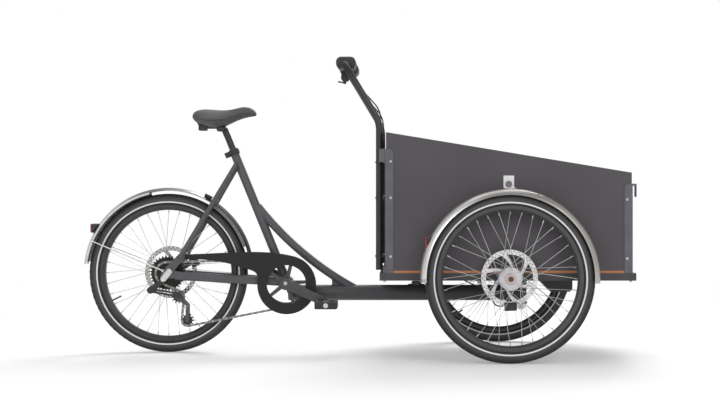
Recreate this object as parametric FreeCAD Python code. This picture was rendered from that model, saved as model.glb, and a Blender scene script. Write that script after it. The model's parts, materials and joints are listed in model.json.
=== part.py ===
import FreeCAD, Part
import math
import os

from FreeCAD import Vector

# Cargo tricycle in millimetres: +X forward, +Y to the rider's left, +Z up.
# The origin is on the ground at the middle of the length.

# Layout
rear_axle_x = -707.5
wheelbase = 1277.5
bead_seat_radius = 253.5
tyre_height = 48.5
box_half_width = 310.0
wheel_clearance = 80.0
crank_reach = 149.5
crank_z = 266.0
kingpin_lead = 66.0
tyre_radius = bead_seat_radius + tyre_height
axle_z = tyre_radius
front_axle_x = rear_axle_x + wheelbase
crank_run = tyre_radius + crank_reach
crank_x = rear_axle_x + crank_run
kingpin_x = front_axle_x + kingpin_lead
wheel_y = box_half_width + wheel_clearance

# Clearances shared by all fits
fit = 0.05
ring_fit = 0.02
face_gap = 0.3
overrun = 5.0
spanner_sides = 6

# Tyre and rim
rim_flange_height = 6.5
rim_flange_radius = bead_seat_radius + rim_flange_height
rim_depth = 13.5
rim_inner_radius = bead_seat_radius - rim_depth
rim_width = 30.0
rim_flange_wall = 2.0
rim_floor_wall = 3.0
rim_floor_width = 18.0
bead_width = 3.5
bead_gap = 0.5
tyre_wall = 3.0
valve_radius = 3.0
valve_length = 38.0
rear_valve_angle = 206.0
front_valve_angle = 213.0

# Spokes
spoke_radius = 1.0
spoke_head_radius = 1.4
spokes_per_flange = 18
spoke_lead_angle = 60.0
spoke_rim_offset = 3.0

# Front hub, measured outwards from the tyre's centre plane
front_flange_offset = 28.0
front_flange_radius = 41.0
front_hole_circle = 36.0
flange_thickness = 3.0
front_shell_radius = 20.0
front_waist_radius = 17.0
front_hub_outer_end = 38.0
front_hub_end_radius = 16.0
front_disc_offset = 45.0
disc_seat_radius = 24.0
disc_seat_width = 4.0
front_bearing_radius = 12.0
front_bearing_width = 8.0
stub_radius = 7.5

# Rear hub, measured along Y from the tyre's centre plane
rear_drive_flange_y = -20.0
rear_far_flange_y = 34.0
rear_flange_radius = 29.0
rear_hole_circle = 25.0
rear_shell_radius = 16.0
rear_hub_drive_end = 26.0
rear_disc_y = 50.0
rear_bearing_radius = 12.0
rear_bearing_width = 7.0
rear_axle_radius = 5.0

# Brake discs
front_disc_radius = 101.5
rear_disc_radius = 100.0
disc_thickness = 1.8
disc_track_width = 17.0
disc_bore_radius = 13.0
disc_arms = 6
disc_arm_share = 0.2
disc_arm_lean = 50.0
disc_bow_share = 0.68
disc_holes = 36
disc_hole_radius = 2.0
disc_hole_insets = (5.0, 12.0)

# Rear frame spacing
dropout_inner_y = 67.5
dropout_thickness = 5.0
axle_nut_radius = 8.5
axle_nut_height = 7.0

# Sprockets and chain
chain_line_y = -44.4
chain_links = 114
roller_radius = 3.9
roller_clearance = 0.2
tooth_height = 3.4
tooth_flank_angle = 20.0
ring_teeth = 44
cog_teeth = (11, 13, 15, 18, 21, 24, 28, 32)
driven_cog = 4
cog_spacing = 4.8
cog_thickness = 1.8
jockey_teeth = 11
jockey_width = 2.2
link_plate_thickness = 0.9
link_plate_height = 8.2
inner_width = 2.8
pin_radius = 1.7
pin_clearance = 0.25
link_gap = 0.15
freehub_radius = 16.0
freehub_bore_radius = 9.0
lockring_radius = 14.0
lockring_width = 2.0

# Main tube and steering head
main_tube_radius = 29.5
main_tube_wall = 2.0
main_tube_z = 227.0
main_tube_lead = 6.0
head_radius = 23.0
head_wall = 4.0
head_bottom_z = 190.0
head_bearing_height = 5.0
head_bearing_radius = 25.0
kingpin_radius = 12.5
kingpin_nut_radius = 17.0
kingpin_nut_height = 19.0
bumper_run = 332.0
bumper_x = front_axle_x - bumper_run
bumper_radius = 19.0
bumper_saddle_length = 64.0
bumper_saddle_wall = 4.0
bumper_cap_height = 10.0

# Seat tube, post and collar
seat_angle = 22.2
seat_tube_radius = 16.5
seat_tube_length = 548.0
seat_post_radius = 12.7
seat_post_wall = 2.0
seat_post_insert = 150.0
seat_post_reach = 62.0
collar_height = 20.0
collar_wall = 4.5
collar_drop = 3.0
collar_slot = 3.0
ear_length = 15.0
ear_thickness = 6.0
ear_bolt_radius = 2.5
lever_length = 50.0
lever_thickness = 5.0
lever_height = 9.0
lever_eye_radius = 6.5

# Curved tube, as drops and runs from the crank axis
curve_radius = 15.9
curve_wall = 1.6
curve_top_run = -112.0
curve_top_rise = 290.0
curve_middle_run = 52.0
curve_middle_rise = 119.0
curve_foot_run = 281.0
curve_foot_rise = -36.0
gusset_run = 171.5
gusset_length = 62.0
gusset_thickness = 6.0
gusset_top_rise = 20.0

# Bottom bracket and cranks
shell_radius = 21.0
shell_bore_radius = 17.0
shell_half_width = 36.5
cup_width = 10.0
cup_flange = 2.5
spindle_radius = 8.5
spindle_half_length = 63.0
crank_length = 175.0
crank_angle = -26.0
crank_inner_y = 60.0
crank_thickness = 13.0
crank_boss_radius = 20.0
crank_end_radius = 15.0
crank_bolt_radius = 7.0
crank_bolt_shank = 4.0
crank_bolt_height = 2.5
spider_arms = 5
spider_phase = 3.0
spider_arm_width = 18.0
spider_thickness = 6.0
spider_hub_radius = 27.0
ring_thickness = 2.0
ring_window_radius = 74.0
ring_bolt_circle = 78.0
pedal_spindle_radius = 6.0
pedal_length = 84.0
pedal_height = 28.0
pedal_width = 95.0
pedal_gap = 3.0
pedal_barrel_radius = 12.0
pedal_rail = 12.0
pedal_cap_radius = 9.0
pedal_cap_height = 4.0

# Chain stays and dropouts, runs forward and rises up from the rear axle
stay_width = 20.0
stay_height = 32.0
stay_wall = 2.0
stay_round = 8.0
stay_bend_radius = 150.0
stay_start_run = 23.0
stay_tyre_inset = 40.0
stay_tyre_run = tyre_radius - stay_tyre_inset
stay_tyre_y = 41.0
stay_neck_back = 79.5
stay_neck_run = crank_run - stay_neck_back
stay_neck_y = 24.0
stay_end_back = 6.5
stay_end_run = crank_run - stay_end_back
stay_axle_rise = -5.0
stay_crank_rise = -34.0
dropout_radius = 17.0
dropout_neck = 13.0
hanger_run = -15.0
hanger_rise = -31.0
hanger_radius = 9.0

# Seat stays, from the dropouts to the seat tube
seat_stay_radius = 10.0
seat_stay_wall = 1.5
seat_stay_foot_run = 52.5
seat_stay_foot_rise = 59.0
seat_stay_foot_y = 70.0
seat_stay_top_along = 486.0
seat_stay_top_back = 9.0
seat_stay_top_y = 25.5
bridge_radius = 6.0

# Rear mudguard, its stays and lamp
rear_guard_gap = 23.0
rear_guard_depth = 11.0
rear_guard_crown = tyre_radius + rear_guard_gap
rear_guard_edge = rear_guard_crown - rear_guard_depth
rear_guard_width = 60.0
guard_sheet = 1.2
rear_guard_front_angle = 13.5
rear_guard_rear_angle = 174.0
guard_tip_angle = 5.0
guard_stay_radius = 2.5
guard_stay_angle = 157.0
guard_stay_foot_run = -11.0
guard_stay_foot_rise = 12.0
guard_clip_angle = 62.5
guard_clip_width = 28.0
guard_clip_height = 9.0
lamp_inset = 29.5
lamp_rise = 153.0
lamp_width = 42.0
lamp_height = 35.0
lamp_lens_depth = 4.0
lamp_corner = 4.0

# Chain guard, runs and rises from the rear axle and, for its ring, from the crank axis
guard_plate_y = -54.5
guard_plate = 2.0
guard_ring_run = 3.0
guard_ring_rise = -7.0
guard_ring_radius = 111.0
guard_window_radius = 74.5
guard_tip_run = 69.0
guard_tip_rise = 63.0
guard_tip_radius = 8.8
guard_top_line = ((187.5, 77.0), (277.5, 80.5), (357.5, 81.0), (417.5, 76.5))
guard_low_line = ((164.0, 50.0), (238.0, 37.0), (310.0, 15.5), (334.5, 5.0))
guard_top_end_angle = 75.0
guard_low_end_angle = 170.0
guard_lip = 12.0
guard_lip_front_angle = -30.0
guard_bolt_radius = 4.0
guard_front_bolt_run = 98.0
guard_tip_bolt_run = 66.0
guard_tip_bolt_rise = 66.0

# Derailleur, runs and rises from the rear axle
knuckle_run = -57.0
knuckle_rise = -62.0
knuckle_radius = 13.0
cage_pivot_run = 50.0
cage_pivot_rise = -80.0
cage_pivot_radius = 12.0
upper_jockey_run = 42.5
upper_jockey_rise = -88.0
lower_jockey_run = 78.5
lower_jockey_rise = -177.0
cage_plate = 1.6
cage_half_gap = 6.5
cage_end_radius = 11.0
cage_foot_radius = 8.0
cage_elbow_run = 80.0
cage_elbow_rise = -119.0
cage_elbow_radius = 6.0
jockey_bolt_radius = 2.5
derailleur_outer_y = -78.0
derailleur_arm_height = 17.0
derailleur_arm_width = 12.0
derailleur_slot_width = 4.25
derailleur_slot_share = 0.22

# Rear brake caliper, from the rear axle
rear_caliper_angle = 26.0
caliper_length = 44.0
caliper_depth = 30.0
caliper_width = 26.0
caliper_slot = 4.0
caliper_reach = 14.0
caliper_mount_radius = 9.0

# Saddle, rises measured from the seat post's top
saddle_length = 244.0
saddle_setback = 127.0
saddle_half_width = 96.0
saddle_height = 104.0
saddle_station_shares = (0.0, 0.06, 0.28, 0.55, 0.8, 0.93, 1.0)
saddle_width_shares = (0.62, 0.86, 1.0, 0.6, 0.31, 0.26, 0.15)
saddle_crown_shares = (0.8, 0.88, 0.895, 0.88, 1.0, 0.96, 0.79)
saddle_edge_shares = (0.62, 0.55, 0.42, 0.5, 0.72, 0.76, 0.72)
saddle_base_shares = (0.52, 0.42, 0.24, 0.36, 0.6, 0.66, 0.67)
rail_radius = 3.5
rail_y = 22.0
rail_length = 130.0
rail_bend_radius = 16.0
rail_end_run = 26.0
rail_end_rise = 60.0
clamp_length = 34.0
clamp_width = 58.0
clamp_height = 20.0
clamp_back = 25.0
bumper_block_length = 26.0
bumper_block_width = 30.0

# Cargo box
box_rear_run = 443.0
box_front_run = 444.0
floor_thickness = 9.0
panel_thickness = 12.0
box_rear_height = 509.0
box_front_height = 363.0
rail_drop = 12.0
box_rail_width = 27.0
box_rail_wall = 2.5
box_rail_overhang_rear = 23.0
box_rail_overhang_front = 16.0
post_leg = 30.0
post_wall = 3.0
post_rear_height = 449.0
post_front_height = 323.0
post_round_share = 0.6
rear_bolt_rises = (60.0, 272.0, 403.0)
front_bolt_rises = (53.0, 266.0)
bolt_radius = 3.0
bolt_head_radius = 5.0
bolt_head_height = 3.5
bolt_nut_height = 5.0
front_bracket_height = 48.0
front_bracket_stand = 18.0
front_bracket_wall = 4.0
bracket_hole_radius = 4.25
bracket_hole_drop = 28.0
foot_bolt_inset = 18.0

# Axle beam, stub axles and kingpin plate
stub_flange_radius = 24.0
stub_flange_width = 6.0
stub_shoulder_radius = 10.0
stub_keeper_radius = 9.0
stub_keeper_width = 2.0
kingpin_plate_thickness = 8.0
kingpin_plate_half_width = 62.0
front_beam_run = 118.0
beam_tube = 27.0
skid_plate_length = 138.0
skid_plate_half_width = 70.0
skid_plate_height = 56.0
skid_plate_corner = 10.0

# Bar, grips and levers
bar_radius = 12.5
bar_wall = 2.0
bar_leg_inset = 50.0
bar_leg_back = 25.0
bar_leg_lift = 10.0
bar_bend_rise = 548.0
bar_top_rise = 761.0
bar_top_back = 153.0
bar_bend_radius = 110.0
bar_corner_radius = 42.0
leg_bracket_height = 48.0
leg_bracket_rise = 401.0
leg_bracket_width = 46.0
spacer_radius = 8.0
grip_gap = 1.0
grip_inner_y = 72.0
grip_depth = 72.0
grip_height = 45.0
grip_round = 19.0
grip_end_round = 4.0
grip_lift = 8.5
grip_lead = 3.0
mount_width = 16.0
mount_radius = 17.0
mount_inset = 51.0
mount_angle = -56.5
pod_angle = -98.0
blade_length = 92.0
blade_height = 10.0
blade_thickness = 6.0
blade_eye_radius = 7.0
fork_wall = 3.0
blade_pin_radius = 2.5
blade_drop = 54.0
pod_y = 66.0
pod_width = 30.0
pod_radius = 16.0
pod_drop = 36.0
trigger_length = 26.0
trigger_width = 12.0
trigger_thickness = 5.0
trigger_washer = 2.0

# Front mudguards and their brackets
front_guard_gap = 18.0
front_guard_depth = 22.0
front_guard_crown = tyre_radius + front_guard_gap
front_guard_edge = front_guard_crown - front_guard_depth
front_guard_width = 62.0
front_guard_front_angle = -3.0
front_guard_rear_angle = 182.5
guard_bracket_width = 38.0
guard_bracket_height = 47.0
guard_bracket_wall = 3.0
guard_bracket_bolt_drop = 31.0
guard_bracket_bolt_radius = 12.0
guard_foot_radius = 5.0
guard_foot_angle = 2.0

# Front calipers and hoses
front_caliper_angle = -88.0
caliper_arm_thickness = 6.0
caliper_arm_width = 30.0
hose_radius = 2.5
hose_leg_gap = 0.3
hose_under_drop = 14.0
hose_leg_lead = 10.0
hose_exit_run = 30.0
hose_first_share = 0.25
hose_loop_back = 8.0
hose_loop_rise = 45.0
hose_turn_run = 190.0
hose_cross_run = 130.0
hose_drop_run = 75.0
hose_end_run = 30.0
hose_bends = (30.0, 80.0, 200.0, 12.0, 60.0, 40.0, 30.0, 25.0)

# Values that follow from the others
rail_bottom_z = axle_z - rail_drop
box_floor_z = rail_bottom_z + box_rail_width
box_rear_top_z = box_floor_z + box_rear_height
box_front_top_z = box_floor_z + box_front_height
post_rear_top_z = box_floor_z + post_rear_height
post_front_top_z = box_floor_z + post_front_height
rear_bolt_heights = [box_floor_z + rise for rise in rear_bolt_rises]
front_bolt_heights = [box_floor_z + rise for rise in front_bolt_rises]
bracket_hole_z = post_front_top_z - bracket_hole_drop
bar_leg_y = box_half_width - bar_leg_inset
bar_leg_bottom_z = box_floor_z + bar_leg_lift
bar_bend_z = box_floor_z + bar_bend_rise
bar_top_z = box_floor_z + bar_top_rise
leg_bracket_bottom_z = box_floor_z + leg_bracket_rise
mount_y = bar_leg_y - mount_inset
grip_outer_y = mount_y - mount_width / 2 - grip_gap
head_top_z = rail_bottom_z - face_gap - head_bearing_height


# Small tools

def turned(run, rise, angle):
    """A run and rise in side view, turned by an angle in degrees."""
    cosine = math.cos(math.radians(angle))
    sine = math.sin(math.radians(angle))
    return run * cosine - rise * sine, run * sine + rise * cosine


def polar(x, z, radius, angle, y):
    """The point at a radius and angle about a cross axis at x, z."""
    run, rise = turned(radius, 0, angle)
    return Vector(x + run, y, z + rise)


def outline(start, *steps):
    """A closed wire: a point is a line's end, a pair is an arc's middle and end."""
    edges = []
    here = start
    for step in steps:
        if isinstance(step, tuple):
            edges.append(Part.Arc(here, step[0], step[1]).toShape())
            here = step[1]
        else:
            edges.append(Part.LineSegment(here, step).toShape())
            here = step
    if here.distanceToPoint(start) > 0:
        edges.append(Part.LineSegment(here, start).toShape())
    return Part.Wire(edges)


def lathe(points, x, z, turn=360.0):
    """A profile of (radius, y) points turned about a cross axis at x, z."""
    wire = outline(*[Vector(x + radius, y, z) for radius, y in points])
    return Part.Face(wire).revolve(Vector(x, 0, z), Vector(0, -1, 0), turn)


def side_plate(points, low_y, high_y):
    """A side-view outline of (x, z) points, as thick as two values of y."""
    wire = outline(*[Vector(x, low_y, z) for x, z in points])
    return Part.Face(wire).extrude(Vector(0, high_y - low_y, 0))


def plan_plate(points, low_z, high_z):
    """A plan outline of (x, y) points between two heights."""
    wire = outline(*[Vector(x, y, low_z) for x, y in points])
    return Part.Face(wire).extrude(Vector(0, 0, high_z - low_z))


def block(x_range, y_range, z_range):
    low = Vector(min(x_range), min(y_range), min(z_range))
    high = Vector(max(x_range), max(y_range), max(z_range))
    size = high - low
    return Part.makeBox(size.x, size.y, size.z, low)


def rod(start, end, radius):
    return Part.makeCylinder(radius, (end - start).Length, start, end - start)


def tube(start, end, radius, wall):
    return rod(start, end, radius).cut(rod(start, end, radius - wall))


def cross_rod(x, z, low_y, high_y, radius):
    """A round bar along Y."""
    return rod(Vector(x, min(low_y, high_y), z), Vector(x, max(low_y, high_y), z), radius)


def hexagon(start, end, radius):
    """A hexagonal bar, its size across corners twice the radius."""
    axis = end - start
    wire = Part.Wire(Part.makeCircle(radius, start, axis))
    corners = wire.discretize(Number=spanner_sides + 1)
    return Part.Face(Part.makePolygon(corners)).extrude(axis)


def bent_path(points, radii):
    """Straight runs joined by tangent arcs."""
    edges = []
    here = points[0]
    for before, corner, after, radius in zip(points, points[1:], points[2:], radii):
        into = (corner - before).normalize()
        out = (after - corner).normalize()
        half_turn = into.getAngle(out) / 2
        reach = radius * math.tan(half_turn)
        inward = (out - into).normalize()
        centre = corner + inward * (radius / math.cos(half_turn))
        arc_start = corner - into * reach
        arc_end = corner + out * reach
        edges.append(Part.LineSegment(here, arc_start).toShape())
        edges.append(Part.Arc(arc_start, centre - inward * radius, arc_end).toShape())
        here = arc_end
    edges.append(Part.LineSegment(here, points[-1]).toShape())
    return Part.Wire(edges)


def bent_bar(path, radius):
    first = path.Edges[0]
    start = first.valueAt(first.FirstParameter)
    section = Part.Wire(Part.makeCircle(radius, start, first.tangentAt(first.FirstParameter)))
    return path.makePipeShell([section], True, False)


def smooth_line(points):
    """One smooth edge through points."""
    curve = Part.BSplineCurve()
    curve.interpolate(points)
    return curve.toShape()


def mirrored(shape):
    return shape.mirror(Vector(0, 0, 0), Vector(0, 1, 0))


def both(shape):
    return [shape, mirrored(shape)]


def minus(shape, *cutters):
    for cutter in cutters:
        shape = shape.cut(cutter)
    return shape


def save(node, *shapes):
    solids = []
    for shape in shapes:
        solids.extend(shape.Solids)
    Part.makeCompound(solids).exportStep(f"parts/{node}.step")
    volume = sum(solid.Volume for solid in solids)
    good = all(solid.isValid() and solid.Volume > 0 for solid in solids)
    print(f"{node}: {len(solids)} solids, {volume:.0f} cubic mm, sound {good}")


# Wheels

def tyre(x, y):
    bead = rim_width / 2 - rim_flange_wall
    inner_bead = bead - bead_width
    shoulder = rim_flange_radius + bead_gap
    wire = outline(
        Vector(x + bead_seat_radius, y - bead, axle_z),
        Vector(x + shoulder, y - bead, axle_z),
        (Vector(x + tyre_radius, y, axle_z), Vector(x + shoulder, y + bead, axle_z)),
        Vector(x + bead_seat_radius, y + bead, axle_z),
        Vector(x + bead_seat_radius, y + inner_bead, axle_z),
        Vector(x + shoulder, y + inner_bead, axle_z),
        (Vector(x + tyre_radius - tyre_wall, y, axle_z), Vector(x + shoulder, y - inner_bead, axle_z)),
        Vector(x + bead_seat_radius, y - inner_bead, axle_z))
    return Part.Face(wire).revolve(Vector(x, y, axle_z), Vector(0, -1, 0), 360)


def rim(x, y, valve_angle):
    half = rim_width / 2
    bead = half - rim_flange_wall
    floor = rim_floor_width / 2
    well = floor - rim_floor_wall
    side = [
        (rim_inner_radius, floor),
        (bead_seat_radius - rim_floor_wall, half),
        (rim_flange_radius, half),
        (rim_flange_radius, bead),
        (bead_seat_radius, bead),
        (bead_seat_radius, bead - bead_width),
        (rim_inner_radius + rim_floor_wall, well)]
    far_side = [(radius, -offset) for radius, offset in reversed(side)]
    hoop = lathe([(radius, y + offset) for radius, offset in side + far_side], x, axle_z)
    valve = rod(
        polar(x, axle_z, rim_inner_radius, valve_angle, y),
        polar(x, axle_z, rim_inner_radius - valve_length, valve_angle, y),
        valve_radius)
    return [hoop, valve]


def spokes(x, y, flanges, hole_circle, flange_edge):
    """Three-cross lacing: on each flange, heads outside lead and heads inside trail."""
    solids = []
    step = 360 / spokes_per_flange
    for index, flange_y in enumerate(flanges):
        outward = math.copysign(1, flange_y - y)
        rim_y = y + outward * spoke_rim_offset
        face = flange_thickness / 2
        slope = abs(flange_y - rim_y) / (rim_inner_radius - hole_circle)
        over_edge = slope * 2 * (flange_edge - hole_circle)
        for number in range(spokes_per_flange):
            outside = number % 2 == 0
            sense = 1 if outside else -1
            angle = (number + index / 2) * step
            head_side = outward if outside else -outward
            stand = face + spoke_head_radius + (over_edge if outside else 0) + ring_fit
            head = polar(x, axle_z, hole_circle, angle, flange_y + head_side * stand)
            seat = polar(x, axle_z, hole_circle, angle, flange_y + head_side * face)
            nipple = polar(x, axle_z, rim_inner_radius, angle + sense * spoke_lead_angle, rim_y)
            solids.append(rod(head, nipple, spoke_radius).fuse(rod(seat, head, spoke_head_radius)))
    return solids


def brake_disc(x, y, radius):
    """A drilled ring on bowed arms round a seat."""
    half = disc_thickness / 2
    disc = cross_rod(x, axle_z, y - half, y + half, radius)
    cutters = [cross_rod(x, axle_z, y - half, y + half, disc_bore_radius)]
    inner = disc_seat_radius + disc_thickness
    outer = radius - disc_track_width
    middle = (inner + outer) / 2
    bow = disc_arm_lean * disc_bow_share
    step = 360 / disc_arms
    width = step * (1 - disc_arm_share)
    for number in range(disc_arms):
        start = number * step
        end = start + width
        wire = outline(
            polar(x, axle_z, inner, start, y - half),
            (polar(x, axle_z, inner, start + width / 2, y - half), polar(x, axle_z, inner, end, y - half)),
            (polar(x, axle_z, middle, end + bow, y - half),
             polar(x, axle_z, outer, end + disc_arm_lean, y - half)),
            (polar(x, axle_z, outer, start + width / 2 + disc_arm_lean, y - half),
             polar(x, axle_z, outer, start + disc_arm_lean, y - half)),
            (polar(x, axle_z, middle, start + bow, y - half), polar(x, axle_z, inner, start, y - half)))
        cutters.append(Part.Face(wire).extrude(Vector(0, disc_thickness, 0)))
    for row, inset in enumerate(disc_hole_insets):
        for number in range(disc_holes):
            place = polar(x, axle_z, radius - inset, (number + row / 2) * 360 / disc_holes, y)
            cutters.append(cross_rod(place.x, place.z, y - half, y + half, disc_hole_radius))
    return minus(disc, *cutters)


def front_hub(x, y, side):
    seat_face = -front_disc_offset + disc_thickness / 2
    flange = flange_thickness / 2
    bore = front_bearing_radius + ring_fit
    profile = [
        (bore, seat_face),
        (disc_seat_radius, seat_face),
        (disc_seat_radius, seat_face + disc_seat_width),
        (front_shell_radius, seat_face + 2 * disc_seat_width),
        (front_shell_radius, -front_flange_offset - flange),
        (front_flange_radius, -front_flange_offset - flange),
        (front_flange_radius, -front_flange_offset + flange),
        (front_shell_radius, -front_flange_offset + flange),
        (front_waist_radius, 0),
        (front_shell_radius, front_flange_offset - flange),
        (front_flange_radius, front_flange_offset - flange),
        (front_flange_radius, front_flange_offset + flange),
        (front_shell_radius, front_flange_offset + flange),
        (front_hub_end_radius, front_hub_outer_end),
        (bore, front_hub_outer_end)]
    shell = lathe([(radius, y + side * offset) for radius, offset in profile], x, axle_z)
    bearings = []
    for start in (seat_face, front_hub_outer_end - front_bearing_width):
        low = y + side * start
        high = y + side * (start + front_bearing_width)
        ring = cross_rod(x, axle_z, low, high, front_bearing_radius)
        bearings.append(ring.cut(cross_rod(x, axle_z, low, high, stub_radius + fit)))
    return [shell] + bearings


def rear_hub(x):
    flange = flange_thickness / 2
    bore = rear_bearing_radius + ring_fit
    seat_face = rear_disc_y - disc_thickness / 2
    profile = [
        (bore, -rear_hub_drive_end),
        (rear_shell_radius, -rear_hub_drive_end),
        (rear_shell_radius, rear_drive_flange_y - flange),
        (rear_flange_radius, rear_drive_flange_y - flange),
        (rear_flange_radius, rear_drive_flange_y + flange),
        (rear_shell_radius, rear_drive_flange_y + flange),
        (rear_shell_radius, rear_far_flange_y - flange),
        (rear_flange_radius, rear_far_flange_y - flange),
        (rear_flange_radius, rear_far_flange_y + flange),
        (rear_shell_radius, rear_far_flange_y + flange),
        (disc_seat_radius, seat_face - disc_seat_width),
        (disc_seat_radius, seat_face),
        (bore, seat_face)]
    shell = lathe(profile, x, axle_z)
    bearings = []
    for start in (-rear_hub_drive_end, seat_face - rear_bearing_width):
        ring = cross_rod(x, axle_z, start, start + rear_bearing_width, rear_bearing_radius)
        hole = cross_rod(x, axle_z, start, start + rear_bearing_width, rear_axle_radius + fit)
        bearings.append(ring.cut(hole))
    return [shell] + bearings


def save_front_wheel(name, side):
    y = side * wheel_y
    flanges = (y - front_flange_offset, y + front_flange_offset)
    save(f"{name}_tyre", tyre(front_axle_x, y))
    save(f"{name}_rim", *rim(front_axle_x, y, front_valve_angle))
    save(f"{name}_spokes", *spokes(front_axle_x, y, flanges, front_hole_circle, front_flange_radius))
    save(f"{name}_hub", *front_hub(front_axle_x, y, side))
    disc_y = y - side * front_disc_offset
    save(f"{name}_brake_disc", brake_disc(front_axle_x, disc_y, front_disc_radius))


def save_rear_wheel():
    flanges = (rear_drive_flange_y, rear_far_flange_y)
    save("rear_tyre", tyre(rear_axle_x, 0))
    save("rear_rim", *rim(rear_axle_x, 0, rear_valve_angle))
    save("rear_spokes", *spokes(rear_axle_x, 0, flanges, rear_hole_circle, rear_flange_radius))
    save("rear_hub", *rear_hub(rear_axle_x))
    save("rear_brake_disc", brake_disc(rear_axle_x, rear_disc_y, rear_disc_radius))


# Drive: chain, sprockets, cranks and pedals

def strap(x_a, z_a, radius_a, x_b, z_b, radius_b, low_y, high_y):
    """The plate that wraps two circles in side view, between two values of y."""
    bearing = math.degrees(math.atan2(z_b - z_a, x_b - x_a))
    reach = math.hypot(x_b - x_a, z_b - z_a)
    lean = math.degrees(math.acos((radius_a - radius_b) / reach))
    wire = outline(
        polar(x_a, z_a, radius_a, bearing + lean, low_y),
        (polar(x_a, z_a, radius_a, bearing + 180, low_y),
         polar(x_a, z_a, radius_a, bearing - lean, low_y)),
        polar(x_b, z_b, radius_b, bearing - lean, low_y),
        (polar(x_b, z_b, radius_b, bearing, low_y),
         polar(x_b, z_b, radius_b, bearing + lean, low_y)))
    return Part.Face(wire).extrude(Vector(0, high_y - low_y, 0))


def pitch_radius(teeth, pitch):
    return teeth * pitch / (2 * math.pi)


def chain_loop(pitch):
    """The chain's closed line: on each sprocket an arc, then the straight run to the next."""
    circles = [
        (crank_x, crank_z, pitch_radius(ring_teeth, pitch), 1),
        (rear_axle_x, axle_z, pitch_radius(cog_teeth[driven_cog], pitch), 1),
        (rear_axle_x + upper_jockey_run, axle_z + upper_jockey_rise, pitch_radius(jockey_teeth, pitch), -1),
        (rear_axle_x + lower_jockey_run, axle_z + lower_jockey_rise, pitch_radius(jockey_teeth, pitch), 1)]
    normals = []
    for here, there in zip(circles, circles[1:] + circles[:1]):
        reach = math.hypot(there[0] - here[0], there[1] - here[1])
        bearing = math.atan2(there[1] - here[1], there[0] - here[0])
        normals.append(bearing - math.acos((here[3] * here[2] - there[3] * there[2]) / reach))
    loop = []
    for number, (x, z, radius, sense) in enumerate(circles):
        into = normals[number - 1]
        out = normals[number]
        first = into if sense > 0 else into + math.pi
        sweep = ((out - into) * sense) % (2 * math.pi)
        next_x, next_z, next_radius, next_sense = circles[(number + 1) % len(circles)]
        start = (x + sense * radius * math.cos(out), z + sense * radius * math.sin(out))
        end = (next_x + next_sense * next_radius * math.cos(out),
               next_z + next_sense * next_radius * math.sin(out))
        loop.append({"length": radius * sweep, "centre": (x, z), "radius": radius,
                     "first": first, "sense": sense})
        loop.append({"length": math.dist(start, end), "start": start, "end": end})
    return loop


def solve_chain_pitch():
    """The pitch at which a whole number of links closes the loop."""
    pitch = 2 * crank_run / chain_links
    for _ in range(60):
        pitch = sum(piece["length"] for piece in chain_loop(pitch)) / chain_links
    return pitch


def chain_points(loop, pitch):
    points = []
    travelled = 0
    for piece in loop:
        number = math.ceil(travelled / pitch)
        while len(points) < chain_links and number * pitch < travelled + piece["length"]:
            along = number * pitch - travelled
            if "radius" in piece:
                angle = piece["first"] + piece["sense"] * along / piece["radius"]
                points.append((piece["centre"][0] + piece["radius"] * math.cos(angle),
                               piece["centre"][1] + piece["radius"] * math.sin(angle)))
            else:
                share = along / piece["length"]
                points.append(tuple(a + (b - a) * share for a, b in zip(piece["start"], piece["end"])))
            number += 1
        travelled += piece["length"]
    return points


def gap_angle(loop, pitch, number):
    """The angle of a roller that sits on one of the sprockets, in degrees."""
    travelled = sum(piece["length"] for piece in loop[:2 * number])
    arc = loop[2 * number]
    along = math.ceil(travelled / pitch) * pitch - travelled
    return math.degrees(arc["first"] + arc["sense"] * along / arc["radius"])


def sprocket(x, z, y, width, teeth, pitch, phase):
    """A toothed disc: each gap has a round seat for a roller and two straight flanks."""
    pitch_circle = pitch_radius(teeth, pitch)
    seat = roller_radius + roller_clearance
    flank = math.radians(tooth_flank_angle)
    touch_run = pitch_circle - seat * math.sin(flank)
    touch_rise = seat * math.cos(flank)
    tip_run = pitch_circle + tooth_height
    tip_rise = touch_rise + (tip_run - touch_run) * math.tan(flank)
    low_y = y - width / 2
    steps = []
    for number in range(teeth):
        angle = phase + number * 360 / teeth
        gap = []
        for run, rise in ((tip_run, -tip_rise), (touch_run, -touch_rise), (pitch_circle - seat, 0),
                          (touch_run, touch_rise), (tip_run, tip_rise)):
            x_run, z_rise = turned(run, rise, angle)
            gap.append(Vector(x + x_run, low_y, z + z_rise))
        steps += [gap[0], gap[1], (gap[2], gap[3]), gap[4]]
    return Part.Face(outline(*steps)).extrude(Vector(0, width, 0))


def chain_link(pitch, inner):
    """One link along X, its first pin at the origin."""
    low = inner_width / 2 if inner else inner_width / 2 + link_plate_thickness + link_gap
    high = low + link_plate_thickness
    end = link_plate_height / 2
    plates = [strap(0, 0, end, pitch, 0, end, side * low, side * high) for side in (-1, 1)]
    if not inner:
        pins = [cross_rod(x, 0, -high, high, pin_radius) for x in (0, pitch)]
        return plates[0].multiFuse([plates[1]] + pins)
    rollers = [cross_rod(x, 0, -low, low, roller_radius) for x in (0, pitch)]
    bores = [cross_rod(x, 0, -high, high, pin_radius + pin_clearance) for x in (0, pitch)]
    return minus(plates[0].multiFuse([plates[1]] + rollers), *bores)


def chain(loop, pitch):
    patterns = (chain_link(pitch, True), chain_link(pitch, False))
    points = chain_points(loop, pitch)
    links = []
    for number, (here, there) in enumerate(zip(points, points[1:] + points[:1])):
        bearing = math.degrees(math.atan2(there[1] - here[1], there[0] - here[0]))
        slack = (pitch - math.dist(here, there)) / 2
        back_x, back_z = turned(-slack, 0, bearing)
        link = patterns[number % 2].copy()
        link.rotate(Vector(0, 0, 0), Vector(0, -1, 0), bearing)
        link.translate(Vector(here[0] + back_x, chain_line_y, here[1] + back_z))
        links.append(link)
    return links


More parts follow.
